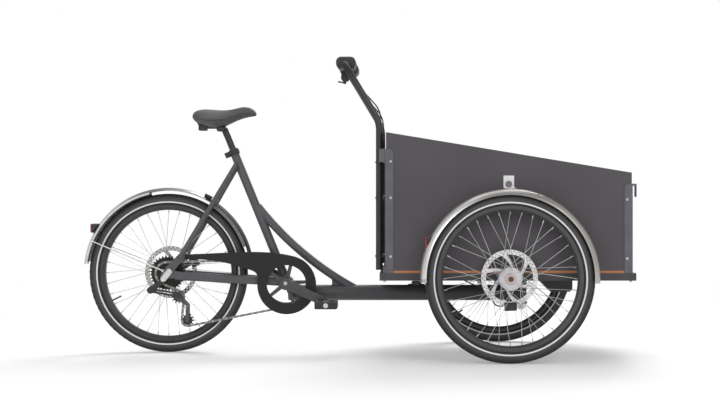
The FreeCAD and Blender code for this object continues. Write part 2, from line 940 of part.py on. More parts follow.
def cassette(loop, pitch):
    solids = []
    first_y = chain_line_y - driven_cog * cog_spacing
    for number, teeth in enumerate(cog_teeth):
        y = first_y + number * cog_spacing
        phase = gap_angle(loop, pitch, 1) if number == driven_cog else 0
        cog = sprocket(rear_axle_x, axle_z, y, cog_thickness, teeth, pitch, phase)
        hole = freehub_radius + ring_fit
        solids.append(cog.cut(cross_rod(rear_axle_x, axle_z, y - cog_thickness, y + cog_thickness, hole)))
    outer_y = first_y - cog_thickness / 2
    inner_y = -rear_hub_drive_end - face_gap
    body = cross_rod(rear_axle_x, axle_z, outer_y, inner_y, freehub_radius)
    body = body.cut(cross_rod(rear_axle_x, axle_z, outer_y, inner_y, freehub_bore_radius + ring_fit))
    lockring = cross_rod(rear_axle_x, axle_z, outer_y - lockring_width, outer_y, lockring_radius)
    lockring_hole = freehub_bore_radius
    lockring = lockring.cut(
        cross_rod(rear_axle_x, axle_z, outer_y - lockring_width, outer_y, lockring_hole))
    bearings = []
    for low_y in (outer_y, inner_y - rear_bearing_width):
        high_y = low_y + rear_bearing_width
        ring = cross_rod(rear_axle_x, axle_z, low_y, high_y, freehub_bore_radius)
        bearings.append(ring.cut(cross_rod(rear_axle_x, axle_z, low_y, high_y, rear_axle_radius + fit)))
    return solids + [body, lockring] + bearings


def chainring(loop, pitch):
    ring = sprocket(crank_x, crank_z, chain_line_y, ring_thickness, ring_teeth, pitch,
                    gap_angle(loop, pitch, 0))
    return ring.cut(cross_rod(crank_x, crank_z, chain_line_y - ring_thickness,
                              chain_line_y + ring_thickness, ring_window_radius))


def crank_arm(side, angle):
    inner_y = side * crank_inner_y
    outer_y = side * (crank_inner_y + crank_thickness)
    boss_y = chain_line_y - ring_thickness / 2 if side < 0 else -chain_line_y
    end_run, end_rise = turned(crank_length, 0, angle)
    end_x = crank_x + end_run
    end_z = crank_z + end_rise
    arm = strap(crank_x, crank_z, crank_boss_radius, end_x, end_z, crank_end_radius, inner_y, outer_y)
    arm = arm.fuse(cross_rod(crank_x, crank_z, boss_y, outer_y, crank_boss_radius))
    if side < 0:
        spider_y = boss_y - spider_thickness
        arm = arm.fuse(cross_rod(crank_x, crank_z, boss_y, spider_y, spider_hub_radius))
        for number in range(spider_arms):
            tip_run, tip_rise = turned(ring_bolt_circle, 0, spider_phase + number * 360 / spider_arms)
            arm = arm.fuse(strap(crank_x, crank_z, spider_arm_width / 2, crank_x + tip_run,
                                 crank_z + tip_rise, spider_arm_width / 3, spider_y, boss_y))
    spindle_hole = cross_rod(crank_x, crank_z, 0, side * spindle_half_length, spindle_radius + ring_fit)
    pedal_hole = cross_rod(end_x, end_z, inner_y, outer_y, pedal_spindle_radius + ring_fit)
    bolt_hole = cross_rod(crank_x, crank_z, 0, outer_y, crank_bolt_shank + ring_fit)
    return minus(arm, spindle_hole, pedal_hole, bolt_hole)


def crank_ends():
    """The pedal axis of each crank: side, x and z."""
    ends = []
    for side, angle in ((-1, crank_angle), (1, crank_angle + 180)):
        run, rise = turned(crank_length, 0, angle)
        ends.append((side, crank_x + run, crank_z + rise))
    return ends


def crank_axles():
    face_y = crank_inner_y + crank_thickness
    end_y = face_y + crank_bolt_height
    spindle = cross_rod(crank_x, crank_z, -spindle_half_length, spindle_half_length, spindle_radius)
    shank = cross_rod(crank_x, crank_z, -end_y, end_y, crank_bolt_shank)
    heads = [cross_rod(crank_x, crank_z, side * face_y, side * end_y, crank_bolt_radius) for side in (-1, 1)]
    solids = [spindle.multiFuse([shank] + heads)]
    reach = face_y + pedal_gap + pedal_width - pedal_cap_height
    for side, x, z in crank_ends():
        spindle = cross_rod(x, z, side * crank_inner_y, side * reach, pedal_spindle_radius)
        collar = cross_rod(x, z, side * face_y, side * (face_y + pedal_gap - face_gap),
                           pedal_spindle_radius + pedal_gap)
        solids.append(spindle.fuse(collar))
    return solids


def pedal(side, x, z):
    inner_y = crank_inner_y + crank_thickness + pedal_gap
    outer_y = inner_y + pedal_width
    half_length = pedal_length / 2
    half_height = pedal_height / 2
    body = block((x - half_length, x + half_length), (side * inner_y, side * outer_y),
                 (z - half_height, z + half_height))
    corners = [edge for edge in body.Edges if abs(edge.tangentAt(edge.FirstParameter).z) > 0.9]
    body = body.makeFillet(pedal_rail / 2, corners)
    ends = [edge for edge in body.Edges if abs(edge.CenterOfMass.z - z) > half_height / 2]
    body = body.makeChamfer(pedal_height / 10, ends)
    for way in (-1, 1):
        window = block((x + way * pedal_barrel_radius, x + way * (half_length - pedal_rail)),
                       (side * (inner_y + pedal_rail), side * (outer_y - pedal_rail)),
                       (z - pedal_height, z + pedal_height))
        body = body.cut(window)
    bore = cross_rod(x, z, side * (inner_y - overrun), side * (outer_y - pedal_cap_height + face_gap),
                     pedal_spindle_radius + fit)
    cap = cross_rod(x, z, side * outer_y, side * (outer_y + pedal_cap_height / 2), pedal_cap_radius)
    return [body.cut(bore), cap]


def jockey(loop, pitch, number, run, rise):
    x = rear_axle_x + run
    z = axle_z + rise
    wheel = sprocket(x, z, chain_line_y, jockey_width, jockey_teeth, pitch, gap_angle(loop, pitch, number))
    half = cage_half_gap - face_gap
    wheel = wheel.fuse(cross_rod(x, z, chain_line_y - half, chain_line_y + half, 2 * jockey_bolt_radius))
    return wheel.cut(cross_rod(x, z, chain_line_y - half, chain_line_y + half, jockey_bolt_radius + fit))


def derailleur_cage():
    solids = []
    upper_x = rear_axle_x + upper_jockey_run
    upper_z = axle_z + upper_jockey_rise
    lower_x = rear_axle_x + lower_jockey_run
    lower_z = axle_z + lower_jockey_rise
    pivot_x = rear_axle_x + cage_pivot_run
    pivot_z = axle_z + cage_pivot_rise
    elbow_x = rear_axle_x + cage_elbow_run
    elbow_z = axle_z + cage_elbow_rise
    for side in (-1, 1):
        near_y = chain_line_y + side * cage_half_gap
        far_y = near_y + side * cage_plate
        plate = strap(upper_x, upper_z, cage_end_radius, elbow_x, elbow_z, cage_elbow_radius, near_y, far_y)
        plate = plate.fuse(strap(elbow_x, elbow_z, cage_elbow_radius, lower_x, lower_z, cage_foot_radius,
                                 near_y, far_y))
        if side < 0:
            plate = plate.fuse(cross_rod(pivot_x, pivot_z, near_y, far_y, cage_pivot_radius))
        solids.append(plate)
    for x, z in ((upper_x, upper_z), (lower_x, lower_z)):
        solids.append(cross_rod(x, z, chain_line_y - cage_half_gap, chain_line_y + cage_half_gap,
                                jockey_bolt_radius))
    return solids


def derailleur_body():
    """Hanger bolt and knuckle, a four-bar arm with its slot, and the cage's pivot knuckle."""
    plate_y = -dropout_inner_y - dropout_thickness
    bolt_x = rear_axle_x + hanger_run
    bolt_z = axle_z + hanger_rise
    knuckle_x = rear_axle_x + knuckle_run
    knuckle_z = axle_z + knuckle_rise
    pivot_x = rear_axle_x + cage_pivot_run
    pivot_z = axle_z + cage_pivot_rise
    link = strap(bolt_x, bolt_z, hanger_radius, knuckle_x, knuckle_z, knuckle_radius,
                 plate_y, derailleur_outer_y)
    cage_y = chain_line_y - cage_half_gap - cage_plate - face_gap
    arm_y = derailleur_outer_y + derailleur_arm_width
    knuckle = cross_rod(knuckle_x, knuckle_z, derailleur_outer_y, arm_y, knuckle_radius)
    arm = strap(knuckle_x, knuckle_z, derailleur_arm_height / 2, pivot_x, pivot_z,
                derailleur_arm_height / 2, derailleur_outer_y, arm_y)
    slot_start_x = knuckle_x + (pivot_x - knuckle_x) * derailleur_slot_share
    slot_start_z = knuckle_z + (pivot_z - knuckle_z) * derailleur_slot_share
    slot_end_x = pivot_x - (pivot_x - knuckle_x) * derailleur_slot_share
    slot_end_z = pivot_z - (pivot_z - knuckle_z) * derailleur_slot_share
    slot = strap(slot_start_x, slot_start_z, derailleur_slot_width / 2, slot_end_x, slot_end_z,
                 derailleur_slot_width / 2, derailleur_outer_y - overrun, arm_y + overrun)
    pivot = cross_rod(pivot_x, pivot_z, derailleur_outer_y, cage_y, cage_pivot_radius)
    body = knuckle.multiFuse([arm.cut(slot), pivot, link])
    return body


def save_drive():
    pitch = solve_chain_pitch()
    loop = chain_loop(pitch)
    print(f"chain pitch {pitch:.3f}")
    save("chain", *chain(loop, pitch))
    save("cassette", *cassette(loop, pitch))
    save("chainring", chainring(loop, pitch))
    save("crank_arms", crank_arm(-1, crank_angle), crank_arm(1, crank_angle + 180))
    save("crank_axles", *crank_axles())
    for side, x, z in crank_ends():
        save("pedal_right" if side < 0 else "pedal_left", *pedal(side, x, z))
    save("jockey_upper", jockey(loop, pitch, 2, upper_jockey_run, upper_jockey_rise))
    save("jockey_lower", jockey(loop, pitch, 3, lower_jockey_run, lower_jockey_rise))
    save("derailleur_cage", *derailleur_cage())
    save("derailleur_body", derailleur_body())


# Frame

def seat_frame(shape):
    """Moves a shape from an upright axis at the origin to the leaning seat tube's axis."""
    leaning = shape.copy()
    leaning.rotate(Vector(0, 0, 0), Vector(0, -1, 0), seat_angle)
    leaning.translate(Vector(crank_x, 0, crank_z))
    return leaning


def upright(low, high, radius):
    return rod(Vector(0, 0, low), Vector(0, 0, high), radius)


def main_tube_core():
    return rod(Vector(crank_x + main_tube_lead, 0, main_tube_z), Vector(kingpin_x, 0, main_tube_z),
               main_tube_radius)


def head_core():
    return rod(Vector(kingpin_x, 0, head_bottom_z), Vector(kingpin_x, 0, head_top_z), head_radius)


def shell_core():
    return cross_rod(crank_x, crank_z, -shell_half_width, shell_half_width, shell_radius)


def main_tube():
    inside = rod(Vector(crank_x + main_tube_lead + main_tube_wall, 0, main_tube_z),
                 Vector(kingpin_x, 0, main_tube_z), main_tube_radius - main_tube_wall)
    beam = minus(main_tube_core(), inside, head_core(), shell_core())
    half = bumper_saddle_length / 2
    saddle = rod(Vector(bumper_x - half, 0, main_tube_z), Vector(bumper_x + half, 0, main_tube_z),
                 main_tube_radius + bumper_saddle_wall)
    lower_half = block((bumper_x - bumper_saddle_length, bumper_x + bumper_saddle_length),
                       (-2 * main_tube_radius, 2 * main_tube_radius),
                       (main_tube_z - 2 * main_tube_radius, main_tube_z))
    saddle = minus(saddle, main_tube_core(), lower_half)
    saddle_top = main_tube_z + main_tube_radius + bumper_saddle_wall
    knob = rod(Vector(bumper_x, 0, main_tube_z), Vector(bumper_x, 0, saddle_top + bumper_cap_height),
               bumper_radius)
    knob = knob.cut(rod(Vector(bumper_x - bumper_saddle_length, 0, main_tube_z),
                        Vector(bumper_x + bumper_saddle_length, 0, main_tube_z),
                        main_tube_radius + bumper_saddle_wall))
    rounded = [edge for edge in knob.Edges if edge.BoundBox.ZMin > saddle_top + bumper_cap_height / 2]
    return [beam, saddle, knob.makeFillet(bumper_cap_height / 3, rounded)]


def steering_head():
    barrel = head_core().cut(
        rod(Vector(kingpin_x, 0, head_bottom_z), Vector(kingpin_x, 0, head_top_z), head_radius - head_wall))
    rings = []
    for low_z in (head_bottom_z - head_bearing_height, head_top_z):
        bottom = Vector(kingpin_x, 0, low_z)
        top = Vector(kingpin_x, 0, low_z + head_bearing_height)
        rings.append(rod(bottom, top, head_bearing_radius).cut(rod(bottom, top, kingpin_radius + fit)))
    return [barrel] + rings


def seat_tube():
    wall = upright(0, seat_tube_length, seat_tube_radius)
    bore = upright(0, seat_tube_length, seat_post_radius + fit)
    return seat_frame(wall.cut(bore)).cut(shell_core())


def seat_tube_core():
    return seat_frame(upright(0, seat_tube_length, seat_tube_radius))


def curved_tube():
    top = Vector(crank_x + curve_top_run, 0, crank_z + curve_top_rise)
    middle = Vector(crank_x + curve_middle_run, 0, crank_z + curve_middle_rise)
    foot = Vector(crank_x + curve_foot_run, 0, crank_z + curve_foot_rise)
    path = Part.Wire(Part.Arc(top, middle, foot).toShape())
    core = bent_bar(path, curve_radius)
    bow = minus(core, bent_bar(path, curve_radius - curve_wall), seat_tube_core(), main_tube_core())
    pieces = sorted(bow.Solids, key=lambda solid: solid.Volume)
    plate = block((crank_x + gusset_run, crank_x + gusset_run + gusset_length),
                  (-gusset_thickness / 2, gusset_thickness / 2),
                  (main_tube_z, crank_z + gusset_top_rise + curve_radius))
    gussets = minus(plate, core, main_tube_core()).Solids
    return [pieces[-1], min(gussets, key=lambda solid: solid.CenterOfMass.z)]


def bottom_bracket_shell():
    shell = shell_core().cut(
        cross_rod(crank_x, crank_z, -shell_half_width, shell_half_width, shell_bore_radius))
    solids = [shell]
    for side in (-1, 1):
        face_y = side * shell_half_width
        sleeve = cross_rod(crank_x, crank_z, face_y - side * cup_width, face_y, shell_bore_radius - ring_fit)
        flange = cross_rod(crank_x, crank_z, face_y, face_y + side * cup_flange, shell_radius - cup_flange)
        hole = cross_rod(crank_x, crank_z, 0, 2 * face_y, spindle_radius + fit)
        solids.append(sleeve.fuse(flange).cut(hole))
    return solids


def dropout(side):
    """The flat plate at the axle, with an arm to each stay and one for the part it carries."""
    low_y = side * dropout_inner_y
    high_y = side * (dropout_inner_y + dropout_thickness)
    arms = [(stay_start_run + stay_height, stay_axle_rise, dropout_neck),
            (seat_stay_foot_run + dropout_neck / 2, seat_stay_foot_rise + dropout_neck / 2, dropout_neck)]
    if side < 0:
        arms.append((hanger_run, hanger_rise, hanger_radius))
    else:
        arms.append((*turned(rear_disc_radius, 0, rear_caliper_angle), caliper_mount_radius))
    plates = [strap(rear_axle_x, axle_z, dropout_radius, rear_axle_x + run, axle_z + rise, radius,
                    low_y, high_y)
              for run, rise, radius in arms]
    plate = plates[0].multiFuse(plates[1:])
    return plate.cut(cross_rod(rear_axle_x, axle_z, low_y, high_y, rear_axle_radius + ring_fit))


def rounded_section(start, way, width, height, corner):
    """A rounded rectangle across a path, its height in the path's upright plane."""
    across = Vector(0, 0, 1).cross(way).normalize()
    up = way.cross(across).normalize()
    half = width / 2
    tall = height / 2

    def spot(side, rise):
        return start + across * side + up * rise

    inset = corner * (1 - math.sqrt(0.5))
    return outline(
        spot(-half, corner - tall),
        (spot(inset - half, inset - tall), spot(corner - half, -tall)),
        spot(half - corner, -tall),
        (spot(half - inset, inset - tall), spot(half, corner - tall)),
        spot(half, tall - corner),
        (spot(half - inset, tall - inset), spot(half - corner, tall)),
        spot(corner - half, tall),
        (spot(inset - half, tall - inset), spot(-half, tall - corner)))


def chain_stay():
    """The right stay: a rounded box section swept from the dropout past the tyre to the crank."""
    foot_y = dropout_inner_y + dropout_thickness / 2
    stations = [(stay_start_run + dropout_neck, foot_y), (stay_tyre_run, stay_tyre_y),
                (stay_neck_run, stay_neck_y), (stay_end_run, stay_neck_y)]
    points = []
    for run, y in stations:
        rise = stay_axle_rise + (stay_crank_rise - stay_axle_rise) * run / stay_end_run
        points.append(Vector(rear_axle_x + run, -y, axle_z + rise))
    path = bent_path(points, (stay_bend_radius, stay_bend_radius))
    way = (points[1] - points[0]).normalize()
    section = rounded_section(points[0], way, stay_width, stay_height, stay_round)
    hollow = rounded_section(points[0], way, stay_width - 2 * stay_wall, stay_height - 2 * stay_wall,
                             stay_round - stay_wall)
    stay = path.makePipeShell([section], True, False).cut(path.makePipeShell([hollow], True, False))
    return minus(stay, main_tube_core(), shell_core())


def chain_stays():
    right = chain_stay()
    solids = []
    for side, stay in ((-1, right), (1, mirrored(right))):
        plate = dropout(side)
        solids += [stay.cut(plate), plate]
    return solids


def seat_stay_ends():
    foot = Vector(rear_axle_x + seat_stay_foot_run, -seat_stay_foot_y, axle_z + seat_stay_foot_rise)
    back, up = turned(-seat_stay_top_back, seat_stay_top_along, seat_angle)
    top = Vector(crank_x + back, -seat_stay_top_y, crank_z + up)
    return foot, top


def seat_stays():
    foot, top = seat_stay_ends()
    right = tube(foot, top, seat_stay_radius, seat_stay_wall)
    core = rod(foot, top, seat_stay_radius)
    solids = []
    for side, stay in ((-1, right), (1, mirrored(right))):
        solids.append(minus(stay, seat_tube_core(), dropout(side)))
    run = foot.x - rear_axle_x
    rise = foot.z - axle_z
    way = top - foot
    square = way.x ** 2 + way.z ** 2
    along = run * way.x + rise * way.z
    radius = rear_guard_crown + bridge_radius + face_gap
    share = (math.sqrt(along ** 2 - square * (run ** 2 + rise ** 2 - radius ** 2)) - along) / square
    middle = foot + way * share
    bridge = cross_rod(middle.x, middle.z, middle.y, -middle.y, bridge_radius)
    return solids + [minus(bridge, core, mirrored(core))]


def collar_pivot():
    """The lever's pivot beside the collar's ears, in the seat tube's own frame."""
    x = -seat_tube_radius - collar_wall - ear_length / 2
    y = -collar_slot / 2 - ear_thickness - lever_eye_radius - face_gap
    z = seat_tube_length - collar_drop - collar_height / 2
    return x, y, z


def seat_collar():
    low = seat_tube_length - collar_drop - collar_height
    high = low + collar_height
    outer = seat_tube_radius + collar_wall
    pivot_x, pivot_y, pivot_z = collar_pivot()
    ear_y = collar_slot / 2 + ear_thickness
    ears = block((-outer - ear_length, -seat_tube_radius), (-ear_y, ear_y), (low, high))
    slot = block((-outer - ear_length - overrun, 0), (-collar_slot / 2, collar_slot / 2),
                 (low - overrun, high + overrun))
    hole = cross_rod(pivot_x, pivot_z, -2 * ear_y, 2 * ear_y, ear_bolt_radius + ring_fit)
    ring = minus(upright(low, high, outer).fuse(ears), upright(low, high, seat_tube_radius + ring_fit),
                 slot, hole)
    bolt = cross_rod(pivot_x, pivot_z, -ear_y, ear_y + ear_thickness / 2, ear_bolt_radius)
    head = cross_rod(pivot_x, pivot_z, ear_y, ear_y + ear_thickness / 2, 2 * ear_bolt_radius)
    cheek_inner = lever_height / 2 + face_gap
    cheek_outer = cheek_inner + collar_slot
    cheeks = [
        block((pivot_x - lever_eye_radius, pivot_x + lever_eye_radius), (-ear_y, pivot_y - lever_eye_radius),
              (pivot_z + way * cheek_inner, pivot_z + way * cheek_outer)) for way in (-1, 1)]
    pin = rod(Vector(pivot_x, pivot_y, pivot_z - cheek_inner),
              Vector(pivot_x, pivot_y, pivot_z + cheek_inner),
              ear_bolt_radius)
    return [seat_frame(shape) for shape in (ring, bolt.fuse(head), *cheeks, pin)]


def seat_lever():
    x, y, z = collar_pivot()
    low = z - lever_height / 2
    outer = -seat_tube_radius - collar_wall - face_gap
    eye = rod(Vector(x, y, low), Vector(x, y, low + lever_height), lever_eye_radius)
    tip = x + lever_length
    arm = plan_plate(
        [(x, y - lever_eye_radius), (x, y), (-seat_tube_radius, outer), (tip, outer),
         (tip, outer - lever_thickness), (-seat_tube_radius, outer - lever_thickness)],
        low, low + lever_height)
    bore = rod(Vector(x, y, low), Vector(x, y, low + lever_height), ear_bolt_radius + fit)
    return seat_frame(eye.fuse(arm).cut(bore))


# Rear mudguard, lamp and chain guard

def mudguard(x, y, crown, edge, width, first_angle, last_angle):
    """A sheet with a crowned section, swept about the axle from one angle to another."""
    half = width / 2
    inner_half = half - guard_sheet / 4
    wire = outline(
        Vector(x + edge, y - half, axle_z),
        (Vector(x + crown, y, axle_z), Vector(x + edge, y + half, axle_z)),
        Vector(x + edge - guard_sheet / 2, y + inner_half, axle_z),
        (Vector(x + crown - guard_sheet, y, axle_z),
         Vector(x + edge - guard_sheet / 2, y - inner_half, axle_z)))
    sheet = Part.Face(wire).revolve(Vector(x, y, axle_z), Vector(0, -1, 0), last_angle - first_angle)
    sheet.rotate(Vector(x, y, axle_z), Vector(0, -1, 0), first_angle)
    return sheet


def on_crown(shape, angle):
    """Moves a shape built on the rear mudguard's crown ahead of the axle to an angle over it."""
    turned_shape = shape.copy()
    turned_shape.rotate(Vector(rear_axle_x, 0, axle_z), Vector(0, -1, 0), angle)
    return turned_shape


def rear_mudguard():
    tip_angle = rear_guard_front_angle + guard_tip_angle
    sheet = mudguard(rear_axle_x, 0, rear_guard_crown, rear_guard_edge, rear_guard_width,
                     tip_angle, rear_guard_rear_angle)
    tip = mudguard(rear_axle_x, 0, rear_guard_crown, rear_guard_edge, rear_guard_width,
                   rear_guard_front_angle, tip_angle)
    return [sheet, tip]


def rear_mudguard_stays():
    solids = []
    for side in (-1, 1):
        edge_y = side * (rear_guard_width / 2 + guard_stay_radius)
        face_y = side * (dropout_inner_y + dropout_thickness)
        foot_y = face_y + side * guard_stay_radius
        foot_x = rear_axle_x + guard_stay_foot_run
        foot_z = axle_z + guard_stay_foot_rise
        wire = rod(polar(rear_axle_x, axle_z, rear_guard_edge, guard_stay_angle, edge_y),
                   Vector(foot_x, foot_y, foot_z), guard_stay_radius)
        eyelet = cross_rod(foot_x, foot_z, face_y, face_y + side * 2 * guard_stay_radius,
                           2 * guard_stay_radius)
        solids.append(wire.cut(eyelet))
        solids.append(eyelet)
    base = rear_axle_x + rear_guard_crown + face_gap
    half = guard_clip_width / 2
    clip = block((base, base + guard_clip_height), (-half, half), (axle_z - half, axle_z + half))
    clip = on_crown(clip, guard_clip_angle).cut(seat_stays()[-1])
    return solids + [max(clip.Solids, key=lambda solid: solid.Volume)]


def rear_lamp():
    """A level housing on the mudguard's rear slope, with its lens facing back."""
    half = lamp_width / 2
    lens_x = rear_axle_x - rear_guard_crown + lamp_inset
    low_z = axle_z + lamp_rise
    high_z = low_z + lamp_height
    housing = block((lens_x + lamp_lens_depth, rear_axle_x), (-half, half), (low_z, high_z))
    long_edges = [edge for edge in housing.Edges if abs(edge.tangentAt(edge.FirstParameter).x) > 0.9]
    housing = housing.makeFillet(lamp_corner, long_edges)
    wheel_space = cross_rod(rear_axle_x, axle_z, -half - overrun, half + overrun, rear_guard_crown + face_gap)
    housing = min(housing.cut(wheel_space).Solids, key=lambda solid: solid.BoundBox.XMin)
    inset = lamp_corner / 2
    lens = block((lens_x, lens_x + lamp_lens_depth), (-half + inset, half - inset),
                 (low_z + inset, high_z - inset))
    long_edges = [edge for edge in lens.Edges if abs(edge.tangentAt(edge.FirstParameter).x) > 0.9]
    return [housing, lens.makeFillet(inset, long_edges)]


def guard_lines():
    """The guard's top and lower edges, each a smooth line from the tip to the ring."""
    x = rear_axle_x + guard_tip_run
    z = axle_z + guard_tip_rise
    ring_x = crank_x + guard_ring_run
    ring_z = crank_z + guard_ring_rise
    top = [Vector(x, guard_plate_y, z + guard_tip_radius)]
    low = [Vector(x, guard_plate_y, z - guard_tip_radius)]
    top += [Vector(rear_axle_x + run, guard_plate_y, axle_z + rise) for run, rise in guard_top_line]
    low += [Vector(rear_axle_x + run, guard_plate_y, axle_z + rise) for run, rise in guard_low_line]
    top.append(polar(ring_x, ring_z, guard_ring_radius, guard_top_end_angle, guard_plate_y))
    low.append(polar(ring_x, ring_z, guard_ring_radius, guard_low_end_angle, guard_plate_y))
    return top, low


def chain_guard():
    far_y = guard_plate_y - guard_plate
    ring_x = crank_x + guard_ring_run
    ring_z = crank_z + guard_ring_rise
    top, low = guard_lines()
    middle = Vector(ring_x, guard_plate_y, ring_z)
    wire = Part.Wire([smooth_line(top), Part.makeLine(top[-1], middle), Part.makeLine(middle, low[-1]),
                      smooth_line(low[::-1]), Part.makeLine(low[0], top[0])])
    arm = Part.Face(wire).extrude(Vector(0, -guard_plate, 0))
    tip = cross_rod(rear_axle_x + guard_tip_run, axle_z + guard_tip_rise, far_y, guard_plate_y,
                    guard_tip_radius)
    ring = cross_rod(ring_x, ring_z, far_y, guard_plate_y, guard_ring_radius)
    window = cross_rod(ring_x, ring_z, far_y, guard_plate_y, guard_window_radius)
    plate = arm.multiFuse([tip, ring]).cut(window)
    under = [point - Vector(0, 0, guard_plate) for point in top]
    lip_wire = Part.Wire([smooth_line(top), Part.makeLine(top[-1], under[-1]), smooth_line(under[::-1]),
                          Part.makeLine(under[0], top[0])])
    top_lip = Part.Face(lip_wire).extrude(Vector(0, guard_lip, 0))
    lip_y = guard_plate_y + guard_lip
    front_lip = lathe(
        [(guard_ring_radius - guard_plate, guard_plate_y), (guard_ring_radius, guard_plate_y),
         (guard_ring_radius, lip_y), (guard_ring_radius - guard_plate, lip_y)],
        ring_x, ring_z, guard_top_end_angle - guard_lip_front_angle)
    front_lip.rotate(Vector(ring_x, 0, ring_z), Vector(0, -1, 0), guard_lip_front_angle)
    cover = plate.multiFuse([top_lip, front_lip])
    front_bolt = cross_rod(crank_x + guard_front_bolt_run, main_tube_z, guard_plate_y, 0, guard_bolt_radius)
    tip_bolt = cross_rod(rear_axle_x + guard_tip_bolt_run, axle_z + guard_tip_bolt_rise, far_y,
                         -dropout_inner_y, guard_bolt_radius)
    stay = rod(*seat_stay_ends(), seat_stay_radius)
    return [cover, front_bolt.cut(main_tube_core()), tip_bolt.cut(stay)]


def rear_axle():
    face_y = dropout_inner_y + dropout_thickness
    end_y = face_y + axle_nut_height
    solids = [cross_rod(rear_axle_x, axle_z, -end_y, end_y, rear_axle_radius)]
    for side in (-1, 1):
        nut = hexagon(Vector(rear_axle_x, side * face_y, axle_z), Vector(rear_axle_x, side * end_y, axle_z),
                      axle_nut_radius)
        solids.append(nut.cut(cross_rod(rear_axle_x, axle_z, side * face_y, side * end_y,
                                        rear_axle_radius + ring_fit)))
    start_y = rear_disc_y + disc_thickness
    spacer = cross_rod(rear_axle_x, axle_z, start_y, dropout_inner_y, axle_nut_radius)
    hole = cross_rod(rear_axle_x, axle_z, start_y, dropout_inner_y, rear_axle_radius + ring_fit)
    return solids + [spacer.cut(hole)]


def caliper(x, z, angle, disc_y, disc_radius, side):
    """A caliper astride a disc's edge, built ahead of the axle and turned to its angle."""
    inner = disc_radius - caliper_reach
    low_y = disc_y - caliper_width / 2
    high_y = disc_y + caliper_width / 2
    body = block((x + inner, x + inner + caliper_depth), (low_y, high_y),
                 (z - caliper_length / 2, z + caliper_length / 2))
    long_edges = [edge for edge in body.Edges if abs(edge.tangentAt(edge.FirstParameter).z) > 0.9]
    body = body.makeFillet(caliper_width / 6, long_edges)
    slot = block((x + inner - overrun, x + disc_radius + caliper_slot / 2),
                 (disc_y - caliper_slot / 2, disc_y + caliper_slot / 2),
                 (z - caliper_length, z + caliper_length))
    body = body.cut(slot)
    cap_y = disc_y + side * caliper_width / 2
    cap = cross_rod(x + inner + caliper_depth / 3, z, cap_y, cap_y + side * caliper_slot / 2,
                    caliper_depth / 3)
    body = body.fuse(cap)
    body.rotate(Vector(x, 0, z), Vector(0, -1, 0), angle)
    return body


def rear_caliper():
    body = caliper(rear_axle_x, axle_z, rear_caliper_angle, rear_disc_y, rear_disc_radius, -1)
    run, rise = turned(rear_disc_radius, 0, rear_caliper_angle)
    boss = cross_rod(rear_axle_x + run, axle_z + rise, rear_disc_y + caliper_width / 2, dropout_inner_y,
                     caliper_mount_radius)
    return [body, boss]


def save_frame():
    save("main_tube", *main_tube())
    save("steering_head", *steering_head())
    save("seat_tube", seat_tube())
    save("curved_tube", *curved_tube())
    save("bottom_bracket_shell", *bottom_bracket_shell())
    save("chain_stays", *chain_stays())
    save("seat_stays", *seat_stays())
    save("seat_collar", *seat_collar())
    save("seat_lever", seat_lever())
    save("rear_mudguard", *rear_mudguard())
    save("rear_mudguard_stays", *rear_mudguard_stays())
    save("rear_lamp", *rear_lamp())
    save("chain_guard", *chain_guard())
    save("rear_axle", *rear_axle())
    save("rear_caliper", *rear_caliper())


# Seat

def post_top():
    """The middle of the seat post's level top."""
    back, up = turned(0, seat_tube_length + seat_post_reach, seat_angle)
    return Vector(crank_x + back, 0, crank_z + up)


def seat_post():
    low = seat_tube_length - seat_post_insert
    high = seat_tube_length + seat_post_reach + seat_post_radius
    post = upright(low, high, seat_post_radius).cut(upright(low, high, seat_post_radius - seat_post_wall))
    top = post_top()
    reach = 2 * clamp_width
    above = block((top.x - reach, top.x + reach), (-reach, reach), (top.z, top.z + reach))
    return seat_frame(post).cut(above)


def saddle():
    """Lofted through stations from the tail to the nose: a crowned top over a shallow base."""
    top = post_top()
    rear_x = top.x - saddle_setback
    sections = []
    for along, width, crown, edge, base in zip(saddle_station_shares, saddle_width_shares,
                                               saddle_crown_shares, saddle_edge_shares, saddle_base_shares):
        x = rear_x + along * saddle_length
        half = width * saddle_half_width
        left = Vector(x, half, top.z + edge * saddle_height)
        right = Vector(x, -half, top.z + edge * saddle_height)
        ridge = Vector(x, 0, top.z + crown * saddle_height)
        keel = Vector(x, 0, top.z + base * saddle_height)
        sections.append(outline(left, (ridge, right), (keel, left)))
    return Part.makeLoft(sections, True, False)


def saddle_rails(cushion):
    """Two bent wires in a clamp on the post, with a rubber block under the tail."""
    top = post_top()
    rail_z = top.z + clamp_height / 2
    middle_x = top.x - clamp_back
    half = rail_length / 2
    path = bent_path(
        [Vector(middle_x - half - rail_end_run, -rail_y, rail_z + rail_end_rise),
         Vector(middle_x - half, -rail_y, rail_z),
         Vector(middle_x + half, -rail_y, rail_z),
         Vector(middle_x + half + rail_end_run, -rail_y, rail_z + rail_end_rise)],
        (rail_bend_radius, rail_bend_radius))
    wire = bent_bar(path, rail_radius)
    wires = [max(shape.cut(cushion).Solids, key=lambda solid: solid.Volume) for shape in both(wire)]
    groove = rod(Vector(middle_x - rail_length, -rail_y, rail_z),
                 Vector(middle_x + rail_length, -rail_y, rail_z),
                 rail_radius + ring_fit)
    clamp = block((middle_x - clamp_length / 2, top.x + seat_post_radius),
                  (-clamp_width / 2, clamp_width / 2), (top.z, top.z + clamp_height))
    clamp = minus(clamp, groove, mirrored(groove))
    tail_x = middle_x - half + bumper_block_length / 2
    pad = block((tail_x - bumper_block_length / 2, tail_x + bumper_block_length / 2),
                (-bumper_block_width, bumper_block_width), (rail_z - rail_radius, top.z + saddle_height))
    wire_hole = bent_bar(path, rail_radius + ring_fit)
    pad = minus(pad, cushion, wire_hole, mirrored(wire_hole))
    lowest = min(pad.Solids, key=lambda solid: solid.BoundBox.ZMin)
    return wires + [clamp, lowest]


